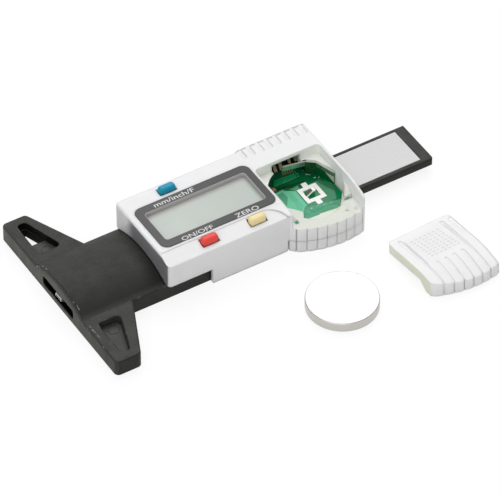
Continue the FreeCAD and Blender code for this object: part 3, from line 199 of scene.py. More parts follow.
class Shader(Nodes):
    """A material: a Principled shader, the nodes that feed it and its tone so far."""

    def __init__(self, name):
        self.material = bpy.data.materials.new(name)
        self.material.use_nodes = True
        super().__init__(self.material.node_tree)
        self.bsdf = self.add("ShaderNodeBsdfPrincipled")
        output = self.add("ShaderNodeOutputMaterial")
        self.link(self.bsdf.outputs[0], output.inputs[0])
        self.object_place = self.add("ShaderNodeTexCoord").outputs["Object"]
        self.tone = None

    def set(self, name, value):
        self.feed(self.bsdf.inputs[name], value)

    def split(self, vector):
        """A vector's X, Y and Z."""
        node = self.add("ShaderNodeSeparateXYZ")
        self.link(vector, node.inputs[0])
        return node.outputs

    def axes(self):
        """The place on the object."""
        return self.split(self.object_place)

    def facing(self):
        """The surface normal."""
        return self.split(self.add("ShaderNodeNewGeometry").outputs["Normal"])

    def stretched(self, factors):
        """The object's coordinates stretched by a factor on each axis."""
        node = self.add("ShaderNodeMapping")
        node.inputs["Scale"].default_value = factors
        self.link(self.object_place, node.inputs["Vector"])
        return node.outputs[0]

    def noise(self, scale, detail=2.0, place=None):
        node = self.add("ShaderNodeTexNoise")
        node.inputs["Scale"].default_value = scale
        node.inputs["Detail"].default_value = detail
        self.link(place or self.object_place, node.inputs["Vector"])
        return node.outputs["Fac"]

    def mix(self, factor, first, second):
        node = self.add("ShaderNodeMix", data_type="RGBA")
        self.feed(node.inputs["Factor"], factor)
        self.feed(node.inputs[6], first)
        self.feed(node.inputs[7], second)
        return node.outputs[2]

    def clouds(self, pattern, low, high, first, second):
        """Two tones that drift into each other."""
        return self.mix(self.span(pattern, low, high), first, second)

    def paint(self, mask, colour, share=1.0):
        """Lays a colour over the tone where the mask is 1."""
        self.tone = self.mix(self.both(mask, share), self.tone, colour)

    def rough(self, pattern, low, high):
        """Roughness that wanders between two values."""
        self.set("Roughness", self.span(pattern, 0.3, 0.7, low, high))

    def rounded_normal(self, radius):
        """The surface normal, rounded over the edges."""
        bevel = self.add("ShaderNodeBevel", samples=6)
        bevel.inputs["Radius"].default_value = radius * MM
        return bevel.outputs[0]

    def rim(self, rounded):
        """1 on the edges, where the rounded normal leaves the true one."""
        product = self.add("ShaderNodeVectorMath", operation="DOT_PRODUCT")
        self.link(rounded, product.inputs[0])
        self.link(self.add("ShaderNodeNewGeometry").outputs["Normal"], product.inputs[1])
        return self.span(product.outputs["Value"], 0.99, 0.86)

    def crevice(self, reach, open_share=0.9, deep_share=0.45):
        """1 in corners and narrow gaps, 0 on open surfaces."""
        node = self.add("ShaderNodeAmbientOcclusion", samples=8)
        node.inputs["Distance"].default_value = reach * MM
        return self.span(node.outputs["AO"], deep_share, open_share, 1.0, 0.0)

    def bump(self, pattern, depth, normal=None):
        node = self.add("ShaderNodeBump")
        node.inputs["Distance"].default_value = depth * MM
        self.link(pattern, node.inputs["Height"])
        if normal:
            self.link(normal, node.inputs["Normal"])
        self.set("Normal", node.outputs[0])

    def finished(self):
        """The material, with its tone as its colour."""
        self.set("Base Color", self.tone)
        return self.material


def scaled(colour, factor):
    return tuple(min(channel * factor, 1) for channel in colour[:3]) + (1.0,)


def plastic(name, colour, rough, grain=2600, depth=0.01, spread=0.05, edge=0.4, gloss=0.25,
            coat=0.0, crevice_shade=None, crevice_shade_reach=0.6, glow=0.0):
    """Moulded plastic: fine grain, faint patches in colour and gloss, softened edges.
    glow is the share of light that enters the plastic and leaves it a little further on."""
    s = Shader(name)
    grains = s.noise(grain, 4)
    light = scaled(colour, 1 + spread)
    s.tone = s.clouds(s.noise(90, 3), 0.35, 0.65, scaled(colour, 1 - spread), light)
    s.paint(s.span(grains, 0.4, 0.75), light, 0.35)
    # Painted shade, laid into corners and narrow gaps where a colour for it is given.
    if crevice_shade:
        s.paint(s.crevice(crevice_shade_reach), crevice_shade, 0.8)
    s.rough(s.noise(260, 3), rough - 0.05, rough + 0.06)
    s.bump(grains, depth, s.rounded_normal(edge))
    s.set("Specular IOR Level", gloss)
    s.set("Coat Weight", coat)
    s.set("Coat Roughness", 0.12)
    s.set("Subsurface Weight", glow)
    s.set("Subsurface Radius", (1.0, 1.0, 1.0))
    s.set("Subsurface Scale", 1.2 * MM)
    return s


def moulded(name, colour, rough, **look):
    """A plastic with nothing more laid over it."""
    return plastic(name, colour, rough, **look).finished()


def ink(name, colour):
    """Print and other thin matt trim."""
    return moulded(name, colour, 0.5, grain=4000, depth=0.002, spread=0.02, edge=0.03)


def metal(name, colour, rough, along=(1, 1, 1), depth=0.004):
    """Plated or brushed metal: fine lines along one direction, faint stains, soft edges."""
    s = Shader(name)
    lines = s.noise(3000, 3, s.stretched(along))
    s.tone = s.clouds(s.noise(150, 3), 0.4, 0.7, colour, scaled(colour, 0.88))
    s.set("Metallic", 1.0)
    s.rough(lines, rough * 0.8, rough * 1.3)
    s.bump(lines, depth, s.rounded_normal(0.2))
    return s.finished()


def black_plastic():
    """The foot and the slider: fine grain and pale rubbed edges, with painted light on front faces
    and pocket floors, and painted shade on the crown, the sides, gaps, pockets and the channel.
    """
    s = Shader("black_moulding")
    grains = s.noise(1900, 6)
    x, y, z = s.axes()
    face_x, _face_y, face_z = s.facing()
    s.tone = s.clouds(s.noise(110, 4), 0.35, 0.65, srgb(42, 43, 39), srgb(49, 49, 46))
    s.paint(s.span(grains, 0.35, 0.7), srgb(62, 62, 59), 0.6)
    s.paint(s.span(s.noise(5200, 2), 0.62, 0.72), srgb(92, 92, 88), 0.3)
    # Painted light: faces towards the front are painted paler, less so towards the near end.
    painted_front_light = s.mix(s.ramp(y, FOOT_FRONT_Y), srgb(82, 82, 75), srgb(46, 46, 41))
    s.paint(s.span(face_x, -0.5, -0.95), painted_front_light, 0.75)
    # Painted shade: the crown darkens towards the near side.
    crown_shade_facing = s.span(face_x, -0.6, -0.3)
    s.paint(s.both(s.ramp(z, CROWN_Z), crown_shade_facing, s.ramp(y, CROWN_Y)), srgb(20, 20, 17), 0.85)
    # Painted shade: upright faces that do not face the front are painted darker.
    upright = s.span(s.math("ABSOLUTE", face_z), 0.55, 0.75, 1.0, 0.0)
    s.paint(s.both(upright, s.span(face_x, -0.5, -0.3)), srgb(15, 15, 9), 0.75)

    normal = s.rounded_normal(0.7)
    rubbed = s.both(s.rim(normal), s.span(s.noise(330, 5), 0.53, 0.66))
    s.paint(rubbed, srgb(150, 150, 146), 0.5)
    front_edge = s.both(s.within(x, FOOT_EDGE_X), s.ramp(z, FOOT_EDGE_Z))
    worn = s.span(s.noise(150, 1), 0.50, 0.56)
    nicks = s.span(s.noise(2600, 2, s.stretched((1.0, 0.16, 0.5))), 0.62, 0.66)
    s.paint(s.both(front_edge, worn, nicks), srgb(186, 186, 182), 0.6)

    # Painted light: the pocket floors and the near pocket's walls are painted paler, for light
    # that reaches into them.
    floors = s.both(s.within(z, POCKET_FLOOR_Z), s.span(face_z, 0.7, 0.8))
    s.paint(s.both(floors, s.ramp(y, NEAR_WING_Y)), srgb(70, 70, 68))
    s.paint(s.both(floors, s.ramp(y, FAR_WING_Y)), srgb(74, 74, 71))
    wing_back = s.both(s.span(face_x, 0.2, 0.3), s.ramp(x, WING_BACK_X))
    walls = s.both(upright, s.within(x, POCKET_X), s.math("SUBTRACT", 1.0, wing_back))
    s.paint(s.both(walls, s.within(y, NEAR_POCKET_Y)), srgb(66, 66, 63))
    # Painted shade: the channel, the far pocket's walls, corners and gaps are painted near black,
    # with less gloss.
    channel = s.both(s.within(y, CHANNEL_Y, 0.12), s.within(z, CHANNEL_Z, 0.08),
                     s.within(x, CHANNEL_X, 0.2))
    far_walls = s.both(walls, s.within(y, FAR_POCKET_Y), 0.9)
    painted_gap_shade = s.either(channel, far_walls, s.both(s.crevice(0.9, 0.85, 0.5), 0.6))
    s.paint(painted_gap_shade, srgb(7, 7, 6))
    s.rough(s.noise(260, 3), 0.46, 0.56)
    s.set("Specular IOR Level", s.span(painted_gap_shade, 0.0, 1.0, 0.22, 0.02))
    s.bump(grains, 0.03, normal)
    return s.finished()


def white_plastic():
    """The housing: silvery white outside, ivory where the bay is bare moulding, with painted shade
    in crevices, on the far edge and the seat's walls, a painted reflection on the front face, and
    painted light in the bay.
    """
    s = plastic("white_moulding", srgb(244, 244, 245), 0.38, grain=2400, depth=0.004,
                spread=0.012, glow=0.6)
    x, y, z = s.axes()
    face_x, face_y, face_z = s.facing()
    # Painted shade in crevices: grey over most of the housing, pale towards the far side, lighter
    # grey on the near skirt behind the bay.
    crevice_shade = s.mix(s.ramp(y, PALE_CREVICE_SHADE_Y), srgb(196, 196, 196), srgb(248, 248, 249))
    skirt = s.both(s.ramp(x, HOUSING_SKIRT_X), s.ramp(y, HOUSING_SKIRT_Y))
    crevice_shade = s.mix(skirt, crevice_shade, srgb(226, 226, 226))
    s.paint(s.crevice(0.6), crevice_shade, 0.8)
    # Painted shade: a grey band on the rounding of the far edge and on the low band behind the far
    # grip.
    far_edge_shade = s.both(s.span(face_y, 0.1, 0.4), s.ramp(y, FAR_EDGE_Y))
    far_grip_shade = s.both(s.ramp(y, FAR_GRIP_Y), s.ramp(x, FAR_GRIP_X), 0.6)
    s.paint(s.either(far_edge_shade, far_grip_shade), srgb(186, 186, 188), 0.8)
    # Painted reflection: the front face is painted grey towards the near side, where it faces the
    # black foot, and made a little metallic there.
    front = s.both(s.span(face_x, -0.8, -0.97), s.ramp(x, HOUSING_FRONT_X))
    s.paint(s.both(front, s.ramp(y, FRONT_SHADE_Y)), srgb(158, 158, 161))
    s.set("Metallic", s.both(front, s.ramp(y, FRONT_SHEEN_Y, 0.0, 0.35)))

    # The bay's bare ivory moulding, partly its own colour and partly painted light: paler than the
    # white outside, while the low rim keeps a darker ivory except by the rear wall, where the
    # paler tone offsets the wall's shadow.
    ivory = s.clouds(s.noise(220, 3), 0.35, 0.7, srgb(250, 252, 244), srgb(245, 248, 238))
    ledge = s.both(s.span(face_z, 0.55, 0.8), s.ramp(z, BAY_LEDGE_Z, 1.0, 0.0),
                   s.ramp(x, BAY_REAR_X, 1.0, 0.0))
    ivory = s.mix(ledge, ivory, srgb(224, 227, 218))
    outer_skirt = s.both(s.ramp(y, BAY_SKIRT_Y, 1.0, 0.0), s.span(face_y, -0.4, -0.3, 1.0, 0.0))
    bay = s.both(s.within(x, BAY_X, 0.08), s.within(y, BAY_Y), s.ramp(z, BAY_MOUTH_Z, 1.0, 0.0),
                 s.math("SUBTRACT", 1.0, outer_skirt))
    s.paint(bay, ivory)

    # Painted shade on the seat's low far walls: the dark green of the board in shadow under the
    # shelf, and near black beside the tall contact.
    seat_wall = s.both(s.span(s.math("ABSOLUTE", face_z), 0.3, 0.5, 1.0, 0.0),
                       s.within(z, SEAT_WALL_Z, 0.05))
    s.paint(s.both(seat_wall, s.within(x, SEAT_SHELF_X), s.within(y, SEAT_SHELF_Y)),
            srgb(6, 72, 38))
    s.paint(s.both(seat_wall, s.within(x, SEAT_CHEEK_X), s.within(y, SEAT_CHEEK_Y)),
            srgb(22, 26, 16))
    return s.finished()


def cover_plastic():
    """The battery cover: whiter than the housing, ivory underneath and on its bay side, with
    painted shade in the crevices of its skirt.
    """
    s = plastic("cover_moulding", srgb(253, 253, 253), 0.42, grain=2400, depth=0.004,
                spread=0.01, crevice_shade=srgb(250, 250, 251), glow=0.8)
    x, y, _z = s.axes()
    face_x, _face_y, face_z = s.facing()
    s.paint(s.span(face_z, -0.25, -0.15, 1.0, 0.0), srgb(230, 232, 218))
    from_wall = s.math("ADD", x, s.math("MULTIPLY", y, COVER_WALL_SLOPE))
    side = s.both(s.span(face_x, -0.6, -0.9), s.ramp(from_wall, COVER_WALL_X, 1.0, 0.0))
    s.paint(side, srgb(240, 242, 224))
    # Painted shade in the skirt's crevices.
    s.paint(s.both(s.ramp(y, COVER_SKIRT_Y), s.crevice(0.6)), srgb(222, 222, 225))
    return s.finished()


def bezel_print():
    """The display's matt grey surround, a little darker towards the rear."""
    s = plastic("bezel_print", srgb(106, 106, 106), 0.5, grain=3000, depth=0.003, spread=0.02,
                gloss=0.05)
    x, _y, _z = s.axes()
    s.paint(s.ramp(x, BEZEL_FADE_X), srgb(97, 97, 97))
    return s.finished()


def lcd_glass():
    """Reflective display: pale green-grey, faintly cloudy, with a painted shadow along its far
    edge.
    """
    s = Shader("display_glass")
    x, y, _z = s.axes()
    s.tone = s.clouds(s.noise(140, 2), 0.35, 0.7, srgb(202, 210, 203), srgb(199, 207, 200))
    s.paint(s.ramp(x, DISPLAY_X), srgb(194, 202, 195))
    # Painted shadow of the window's far wall.
    s.paint(s.ramp(y, DISPLAY_SHADE_Y), srgb(197, 193, 191), 0.8)
    s.rough(s.noise(900, 3), 0.28, 0.36)
    s.set("Specular IOR Level", 0.15)
    s.bump(s.noise(4000, 2), 0.001)
    return s.finished()


def solder_mask(name, low, high, cloud_scale=180):
    """Green lacquer over laminate, with the laminate's tan on cut edges."""
    s = Shader(name)
    weave = s.noise(2600, 2)
    s.tone = s.clouds(s.noise(cloud_scale, 4), 0.35, 0.7, low, high)
    s.paint(s.span(weave, 0.4, 0.8), high, 0.25)
    s.paint(s.span(s.math("ABSOLUTE", s.facing()[2]), 0.5, 0.7, 1.0, 0.0), srgb(224, 222, 180))
    s.rough(s.noise(700, 3), 0.34, 0.46)
    s.set("Specular IOR Level", 0.06)
    s.bump(weave, 0.003)
    return s.finished()


def silver_film():
    """The scale's matt silver label."""
    s = Shader("silver_film")
    fine = s.noise(5200, 2)
    s.tone = s.clouds(fine, 0.35, 0.7, srgb(218, 218, 219), srgb(225, 225, 225))
    s.set("Specular IOR Level", 0.12)
    s.rough(s.noise(500, 3), 0.42, 0.52)
    s.bump(fine, 0.003)
    return s.finished()


def cell_steel():
    """Nickel-plated can: turned finish, with rings about the cell's own axis; its side is painted
    paler and less metallic than its face, as painted light.
    """
    s = Shader("cell_nickel")
    from_centre = s.add("ShaderNodeVectorMath", operation="SUBTRACT")
    s.link(s.object_place, from_centre.inputs[0])
    from_centre.inputs[1].default_value = (CELL_CENTRE[0] * MM, CELL_CENTRE[1] * MM, 0)
    flat = s.add("ShaderNodeVectorMath", operation="MULTIPLY")
    s.link(from_centre.outputs[0], flat.inputs[0])
    flat.inputs[1].default_value = (1, 1, 0)
    radius = s.add("ShaderNodeVectorMath", operation="LENGTH")
    s.link(flat.outputs[0], radius.inputs[0])
    rings = s.add("ShaderNodeTexNoise", noise_dimensions="1D")
    s.link(radius.outputs["Value"], rings.inputs["W"])
    rings.inputs["Scale"].default_value = 5200
    upward = s.facing()[2]
    # Painted light: the side gets a paler, less metallic tone than the face.
    face = s.clouds(s.noise(160, 4), 0.45, 0.75, srgb(186, 186, 186), srgb(179, 179, 180))
    s.tone = s.mix(s.span(upward, 0.4, 0.95), srgb(204, 200, 194), face)
    s.set("Metallic", s.span(upward, 0.2, 0.5, 0.6, 1.0))
    s.rough(s.noise(420, 3), 0.3, 0.4)
    s.bump(rings.outputs["Fac"], 0.0015)
    return s.finished()


def probe_steel():
    """The probe: bright steel, with painted shade on the middle of its tip's face, where it lies
    in its channel.
    """
    s = Shader("probe_steel")
    _x, y, z = s.axes()
    lines = s.noise(3000, 3, s.stretched((0.1, 4.0, 4.0)))
    middle = s.both(s.within(y, PROBE_FACE_Y, 0.08), s.within(z, PROBE_FACE_Z, 0.05))
    in_shade = s.both(s.span(s.facing()[0], -0.5, -0.9), middle)
    s.tone = s.mix(in_shade, srgb(206, 206, 208), srgb(34, 34, 34))
    s.set("Metallic", 0.8)
    s.rough(lines, 0.3, 0.45)
    s.bump(lines, 0.004)
    return s.finished()


def bare_pads():
    """Bare copper, dull and tan, with painted light on the fingers at the board's far edge, which
    lie in shade.
    """
    s = plastic("bare_pads", srgb(172, 150, 118), 0.5, grain=3000, depth=0.002, spread=0.08,
                edge=0.03)
    _x, y, _z = s.axes()
    # Painted light: the fingers under the deck are painted paler.
    s.paint(s.ramp(y, LIT_FINGERS_Y), srgb(246, 222, 184))
    return s.finished()


def strip_mirror():
    """The tall spring strip: tin whose three faces are painted with reflections of the board, pale
    on its top as painted light, and painted below its last face with the board and the wall behind
    it.
    """
    s = Shader("strip_tin")
    x, y, z = s.axes()
    face_x, _face_y, face_z = s.facing()
    # Painted reflection: each face takes the green of the board it would mirror.
    s.tone = s.mix(s.ramp(x, STRIP_FIRST_X), srgb(132, 196, 154), srgb(98, 142, 118))
    middle = s.clouds(s.noise(700, 3), 0.4, 0.6, srgb(26, 82, 46), srgb(40, 96, 58))
    s.paint(s.span(face_x, -0.45, -0.50), middle)
    last = s.clouds(s.noise(500, 3), 0.4, 0.6, srgb(88, 124, 100), srgb(104, 140, 116))
    # Below the last face's foot, the board and the wall behind the strip are painted on.
    board_line = s.math("ADD", z, s.math("MULTIPLY", y, STRIP_BOARD_SLOPE))
    below = s.mix(s.ramp(board_line, STRIP_BOARD_LINE), srgb(2, 104, 58), srgb(222, 216, 202))
    last = s.mix(s.ramp(z, STRIP_FOOT_Z, 1.0, 0.0), last, below)
    s.paint(s.span(face_x, -0.80, -0.85), last)
    # Painted light: the top edge and the up-facing faces are pale and matt.
    top = s.either(s.ramp(z, STRIP_EDGE_Z), s.span(face_z, 0.4, 0.6))
    s.paint(top, srgb(212, 214, 200))
    s.set("Metallic", s.span(top, 0.0, 1.0, 0.35, 0.0))
    s.rough(s.noise(600, 3), 0.25, 0.35)
    s.set("Specular IOR Level", 0.2)
    return s.finished()


def contact_white():
    """The spring frame on the board: matt tin, dark where its tongue bends out of the light."""
    s = plastic("contact_white", srgb(252, 250, 247), 0.45, grain=3000, depth=0.002,
                spread=0.01, edge=0.1, gloss=0.5)
    _x, y, _z = s.axes()
    s.paint(s.both(s.span(s.facing()[0], -0.35, -0.5), s.ramp(y, TONGUE_Y)), srgb(84, 92, 78))
    return s.finished()


def make_materials():
    """Every finish by the name that a node's slot, OWN_FINISH or a piece asks for."""
    # The buttons carry dark painted shade in the gaps round them.
    button = dict(rough=0.35, depth=0.003, grain=1800, spread=0.03, edge=0.25, coat=0.1,
                  crevice_shade=srgb(40, 30, 28), crevice_shade_reach=0.4)
    return {
        "black_plastic": black_plastic(),
        "white_plastic": white_plastic(),
        "cover_plastic": cover_plastic(),
        "red_plastic": moulded("red_plastic", srgb(246, 80, 72), **button),
        "yellow_plastic": moulded("yellow_plastic", srgb(254, 232, 174), **button),
        "blue_plastic": moulded("blue_plastic", srgb(14, 148, 180), **button),
        "grey_bezel": bezel_print(),
        "liner": ink("window_liner", srgb(188, 186, 185)),
        "white_ink": ink("white_ink", srgb(226, 226, 226)),
        "lcd_glass": lcd_glass(),
        "elastomer": moulded("elastomer", srgb(120, 120, 124), 0.7),
        "board_green": solder_mask("board_mask", srgb(2, 92, 52), srgb(8, 110, 64)),
        # Films on the board: the pour is partly copper and partly painted light; of the rest, all
        # but the bright green, the traces and the gaps are painted reflections, highlights, light
        # and shadow.
        "board_pour": solder_mask("board_pour", srgb(112, 202, 162), srgb(122, 210, 172)),
        "board_reflection_and_slot_green": solder_mask("board_reflection_and_slot_green", srgb(82, 146, 112), srgb(94, 158, 126)),
        "board_dim_reflection": solder_mask("board_dim_reflection", srgb(52, 118, 80), srgb(66, 132, 94)),
        "board_bright": solder_mask("board_bright", srgb(0, 122, 70), srgb(4, 134, 78)),
        "board_lit_band": solder_mask("board_lit_band", srgb(4, 150, 92), srgb(10, 162, 100)),
        "board_line": solder_mask("board_line", srgb(44, 160, 116), srgb(70, 178, 136)),
        "board_near_reflection": solder_mask("board_near_reflection", srgb(90, 160, 130), srgb(104, 174, 144), 420),
        "board_highlight": solder_mask("board_highlight", srgb(70, 154, 120), srgb(84, 166, 132), 420),
        "board_shaded": solder_mask("board_shaded", srgb(84, 158, 126), srgb(96, 168, 138)),
        "board_shadow": solder_mask("board_shadow", srgb(0, 66, 34), srgb(6, 80, 42)),
        "board_edge": ink("laminate_edge", srgb(222, 226, 178)),
        # Painted shadow for the hollow by the board's far edge.
        "board_pit_shadow": moulded("board_pit_shadow", srgb(24, 18, 8), 0.6),
        "mark": ink("mask_mark", srgb(170, 214, 188)),
        "gold": bare_pads(),
        "sill": ink("bay_sill", srgb(226, 229, 221)),
        "black_epoxy": moulded("glob_top", srgb(36, 36, 36), 0.25),
        "tinned_steel": metal("tinned_steel", srgb(226, 228, 222), 0.14, (1, 6, 1), 0.0005),
        "screw_steel": metal("screw_steel", srgb(176, 178, 182), 0.35),
        "spring_bronze": metal("spring_bronze", srgb(190, 150, 95), 0.3),
        "contact_white": contact_white(),
        "strip_mirror": strip_mirror(),
        "scale_board": solder_mask("scale_board", srgb(12, 86, 52), srgb(24, 104, 66)),
        "silver_label": silver_film(),
        "probe_steel": probe_steel(),
        "cell_steel": cell_steel(),
        "cell_gasket": moulded("cell_gasket", srgb(120, 118, 112), 0.5),
        # Painted shade: the grey line round the cell's rim.
        "cell_rim_shade": ink("cell_rim_shade", srgb(222, 221, 218)),
        # Painted shade: the pale grey of the cover's dashes and lines.
        "dash": ink("cover_dash", srgb(226, 226, 227)),
    }


MATERIALS = make_materials()
OWN_FINISH = {"battery_cover": "cover_plastic", "negative_contact": "contact_white",
              "positive_contact": "strip_mirror"}


def dress_nodes():
    """Every CAD node gets the finish of its slot in the record, or one of its own."""
    for row in frame["record"]["subparts"]:
        node = NODES[row["node"]]
        finish = MATERIALS[OWN_FINISH.get(row["node"], row["material_slot"])]
        if not node.material_slots:
            node.data.materials.append(finish)
        for slot in node.material_slots:
            slot.material = finish


# ---------------------------------------------------------------- outlines

def arc(centre, radius, turns):
    """Points on a circle at the given angles."""
    return [(centre[0] + radius * math.cos(math.radians(turn)),
             centre[1] + radius * math.sin(math.radians(turn))) for turn in turns]


def rounded(x_range, y_range, radius):
    """A rectangle with rounded corners."""
    steps = 6
    points = []
    corners = ((x_range[1], y_range[1], 0), (x_range[0], y_range[1], 90),
               (x_range[0], y_range[0], 180), (x_range[1], y_range[0], 270))
    for x, y, start in corners:
        centre = (x - radius if start in (0, 270) else x + radius,
                  y - radius if start in (0, 90) else y + radius)
        points += arc(centre, radius, [start + 90 * step / steps for step in range(steps + 1)])
    return points


def ribbon(path, width, closed=False):
    """The outline, or the two outlines, of a band of the given width along a path."""
    sharpest = 0.4
    count = len(path)
    left, right = [], []
    for index, (x, y) in enumerate(path):
        before = path[index - 1] if closed or index > 0 else path[index]
        after = path[(index + 1) % count] if closed or index < count - 1 else path[index]
        first = Vector((x - before[0], y - before[1]))
        second = Vector((after[0] - x, after[1] - y))
        first = (first if first.length > 0 else second).normalized()
        second = (second if second.length > 0 else first).normalized()
        along = (first + second).normalized()
        across = Vector((-along.y, along.x)) * (width / 2 / max(along.dot(second), sharpest))
        left.append((x + across.x, y + across.y))
        right.append((x - across.x, y - across.y))
    return [left, right] if closed else [left + right[::-1]]


def ribbons(paths):
    """The outlines of several open bands, each a width and a path."""
    return [outline for width, path in paths for outline in ribbon(path, width)]


# ---------------------------------------------------------------- pieces

def placed(name, data):
    """A new object in the scene."""
    obj = bpy.data.objects.new(name, data)
    scene.collection.objects.link(obj)
    return obj


def keep(obj, body, finish):
    """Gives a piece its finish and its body."""
    obj.data.materials.clear()
    obj.data.materials.append(MATERIALS[finish])
    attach(obj, body)
    return obj


def settle(name, curve, placing):
    """Turns a curve or text into a mesh object of its own, with its place in its vertices."""
    holder = placed(name + "_source", curve)
    bpy.context.view_layer.update()
    source = holder.evaluated_get(bpy.context.evaluated_depsgraph_get())
    mesh = bpy.data.meshes.new_from_object(source)
    mesh.name = name
    bpy.data.objects.remove(holder)
    bpy.data.curves.remove(curve)
    mesh.transform(placing)
    return placed(name, mesh)


def plate(name, loops, z, thick, finish, body="gauge", bevel=0.0):
    """A flat piece from closed outlines; an outline inside another is a hole."""
    curve = bpy.data.curves.new(name + "_outline", "CURVE")
    curve.dimensions = "2D"
    curve.fill_mode = "BOTH"
    curve.extrude = (thick / 2 - bevel) * MM
    curve.bevel_depth = bevel * MM
    curve.bevel_resolution = 1
    for loop in loops:
        spline = curve.splines.new("POLY")
        spline.points.add(len(loop) - 1)
        for point, (x, y) in zip(spline.points, loop):
            point.co = (x * MM, y * MM, 0, 1)
        spline.use_cyclic_u = True
    middle = Matrix.Translation((0, 0, (z + thick / 2) * MM))
    return keep(settle(name, curve, middle), body, finish)


# ---------------------------------------------------------------- display and legends

BEZEL_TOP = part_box("display_bezel")[1].z / MM
LCD_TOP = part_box("lcd_panel")[1].z / MM
WINDOW_X = (29.95, 61.25)
WINDOW_Y = (-5.95, 5.95)
WINDOW_RADIUS = 1.0
LINER_WIDE = 0.12
LINER_RADIUS = 0.9
LINER_LIFT, LINER_DROP = 0.02, 0.03
INK_THICK = 0.02
INK_WEIGHT = 0.008

# Name, words, then the box: X from, X to, baseline and cap height.
LEGENDS = (("legend_units", "mm/inch/F", 33.9, 46.3, 6.35, 7.95),
           ("legend_power", "ON/OFF", 33.75, 43.3, -8.43, -6.98),
           ("legend_zero", "ZERO", 50.45, 57.5, -8.43, -6.85))


def legend(name, words, x_low, x_high, base, top):
    """Raised ink on the bezel, fitted to a box of its own."""
    font = bpy.data.curves.new(name + "_text", "FONT")
    font.body = words
    font.offset = INK_WEIGHT
    font.extrude = 0.5
    obj = settle(name, font, Matrix.Identity(4))
    xs = [v.co.x for v in obj.data.vertices]
    ys = [v.co.y for v in obj.data.vertices]
    wide = (x_high - x_low) / (max(xs) - min(xs))
    high = (top - base) / (max(ys) - min(ys))
    fit = Matrix.Translation((x_low * MM, base * MM, (BEZEL_TOP + INK_THICK / 2) * MM))
    fit = fit @ Matrix.Diagonal((wide * MM, high * MM, INK_THICK * MM, 1))
    fit = fit @ Matrix.Translation((-min(xs), -min(ys), 0))
    obj.data.transform(fit)
    keep(obj, "gauge", "white_ink")


def dress_display():
    """The window's pale lining and the three legends."""
    inner_x = (WINDOW_X[0] + LINER_WIDE, WINDOW_X[1] - LINER_WIDE)
    inner_y = (WINDOW_Y[0] + LINER_WIDE, WINDOW_Y[1] - LINER_WIDE)
    loops = [rounded(WINDOW_X, WINDOW_Y, WINDOW_RADIUS), rounded(inner_x, inner_y, LINER_RADIUS)]
    low, high = LCD_TOP + LINER_LIFT, BEZEL_TOP - LINER_DROP
    plate("window_liner", loops, low, high - low, "liner", bevel=0.02)
    for row in LEGENDS:
        legend(*row)


# ---------------------------------------------------------------- circuit board in the bay

BOARD_CLEAR = 0.01
BOARD_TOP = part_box("main_pcb")[1].z / MM + BOARD_CLEAR
RIM_TOP = 8.2
FILM = 0.03
SEAT_CENTRE = (74.15, -5.1)
SEAT_RADIUS = 10.28
SEAT_NEAR_REAR = range(-108, -5, 6)
SILL_THICK = 0.06
PADS_THICK = 1.6 * FILM

# Copper, lacquer and painted light as the cell seat shows them. The pour is partly copper and
# partly painted light; the pale, dim and near reflections and the glint are painted reflections,
# the band is painted light and the dark film by the far wall is painted shadow. Name, level,
# finish and outline.
BOARD_AREAS = (
    ("pcb_pour", 1, "board_pour",
     [(64.3, 2.2), (66.3, 2.1), (68.3, 1.45), (70.74, 1.63), (71.3, 0.88), (73.58, -0.53),
      (73.71, -1.0), (73.41, -7.06), (72.65, -7.0), (71.07, -8.74), (69.2, -12.2),
      (64.3, -12.2)]),
    ("pcb_pale_reflection", 1, "board_reflection_and_slot_green",
     [(73.8, -1.0), (76.4, -0.3), (80.47, -0.15), (80.9, -2.2), (82.3, -5.4), (82.53, -6.3),
      (81.49, -8.9), (80.07, -8.8), (76.79, -8.0), (73.5, -7.1)]),
    ("pcb_dim_reflection", 1, "board_dim_reflection",
     [(80.55, -0.12), (81.37, 0.14), (82.25, -1.24), (83.36, -3.17), (83.53, -4.74),
      (82.6, -6.2), (82.36, -5.4), (80.96, -2.2)]),
    ("pcb_bright", 1, "board_bright",
     [(83.8, 3.0), (84.0, 2.6), (84.0, -7.6), (82.53, -9.54), (81.6, -8.9), (82.6, -6.3),
      (83.6, -4.74), (83.43, -3.17), (82.3, -1.2), (83.0, 0.2)]),
    ("pcb_near_reflection", 1, "board_near_reflection",
     [(72.65, -7.1), (76.79, -8.1), (80.07, -8.9), (82.5, -9.6), (80.56, -11.9),
      (79.9, -12.25), (70.0, -12.25), (70.2, -10.4), (71.1, -8.8)]),
    ("pcb_core", 2, "board_bright",
     [(75.2, -1.9), (75.15, -5.5), (76.65, -6.1), (77.9, -3.5), (76.6, -2.6)]),
    ("pcb_shadow", 1, "board_shadow",
     [(67.0, 2.3), (70.8, 1.8), (73.2, 0.98), (75.5, 1.2), (77.5, 0.85), (78.0, 1.76),
      (75.4, 2.13), (71.7, 2.7), (69.86, 3.0), (67.4, 4.3)]),
    ("pcb_glint", 1, "board_reflection_and_slot_green",
     [(72.5, 0.72), (73.7, 0.82), (75.2, 0.9), (75.0, -0.5), (73.8, -0.6)]),
    ("pcb_lit_band", 1, "board_lit_band",
     [(69.5, 5.5), (75.3, 5.3), (76.85, 5.4), (77.3, 4.7), (76.6, 4.2), (70.3, 4.0),
      (69.06, 4.75)]),
)

# Painted shadow: a dark film on the board where the hollow by its far edge lies in shade.
PIT_SHADOW = [(72.2, 8.4), (73.2, 12.2), (83.0, 12.2), (81.5, 8.7), (76.1, 8.0), (74.6, 8.0)]

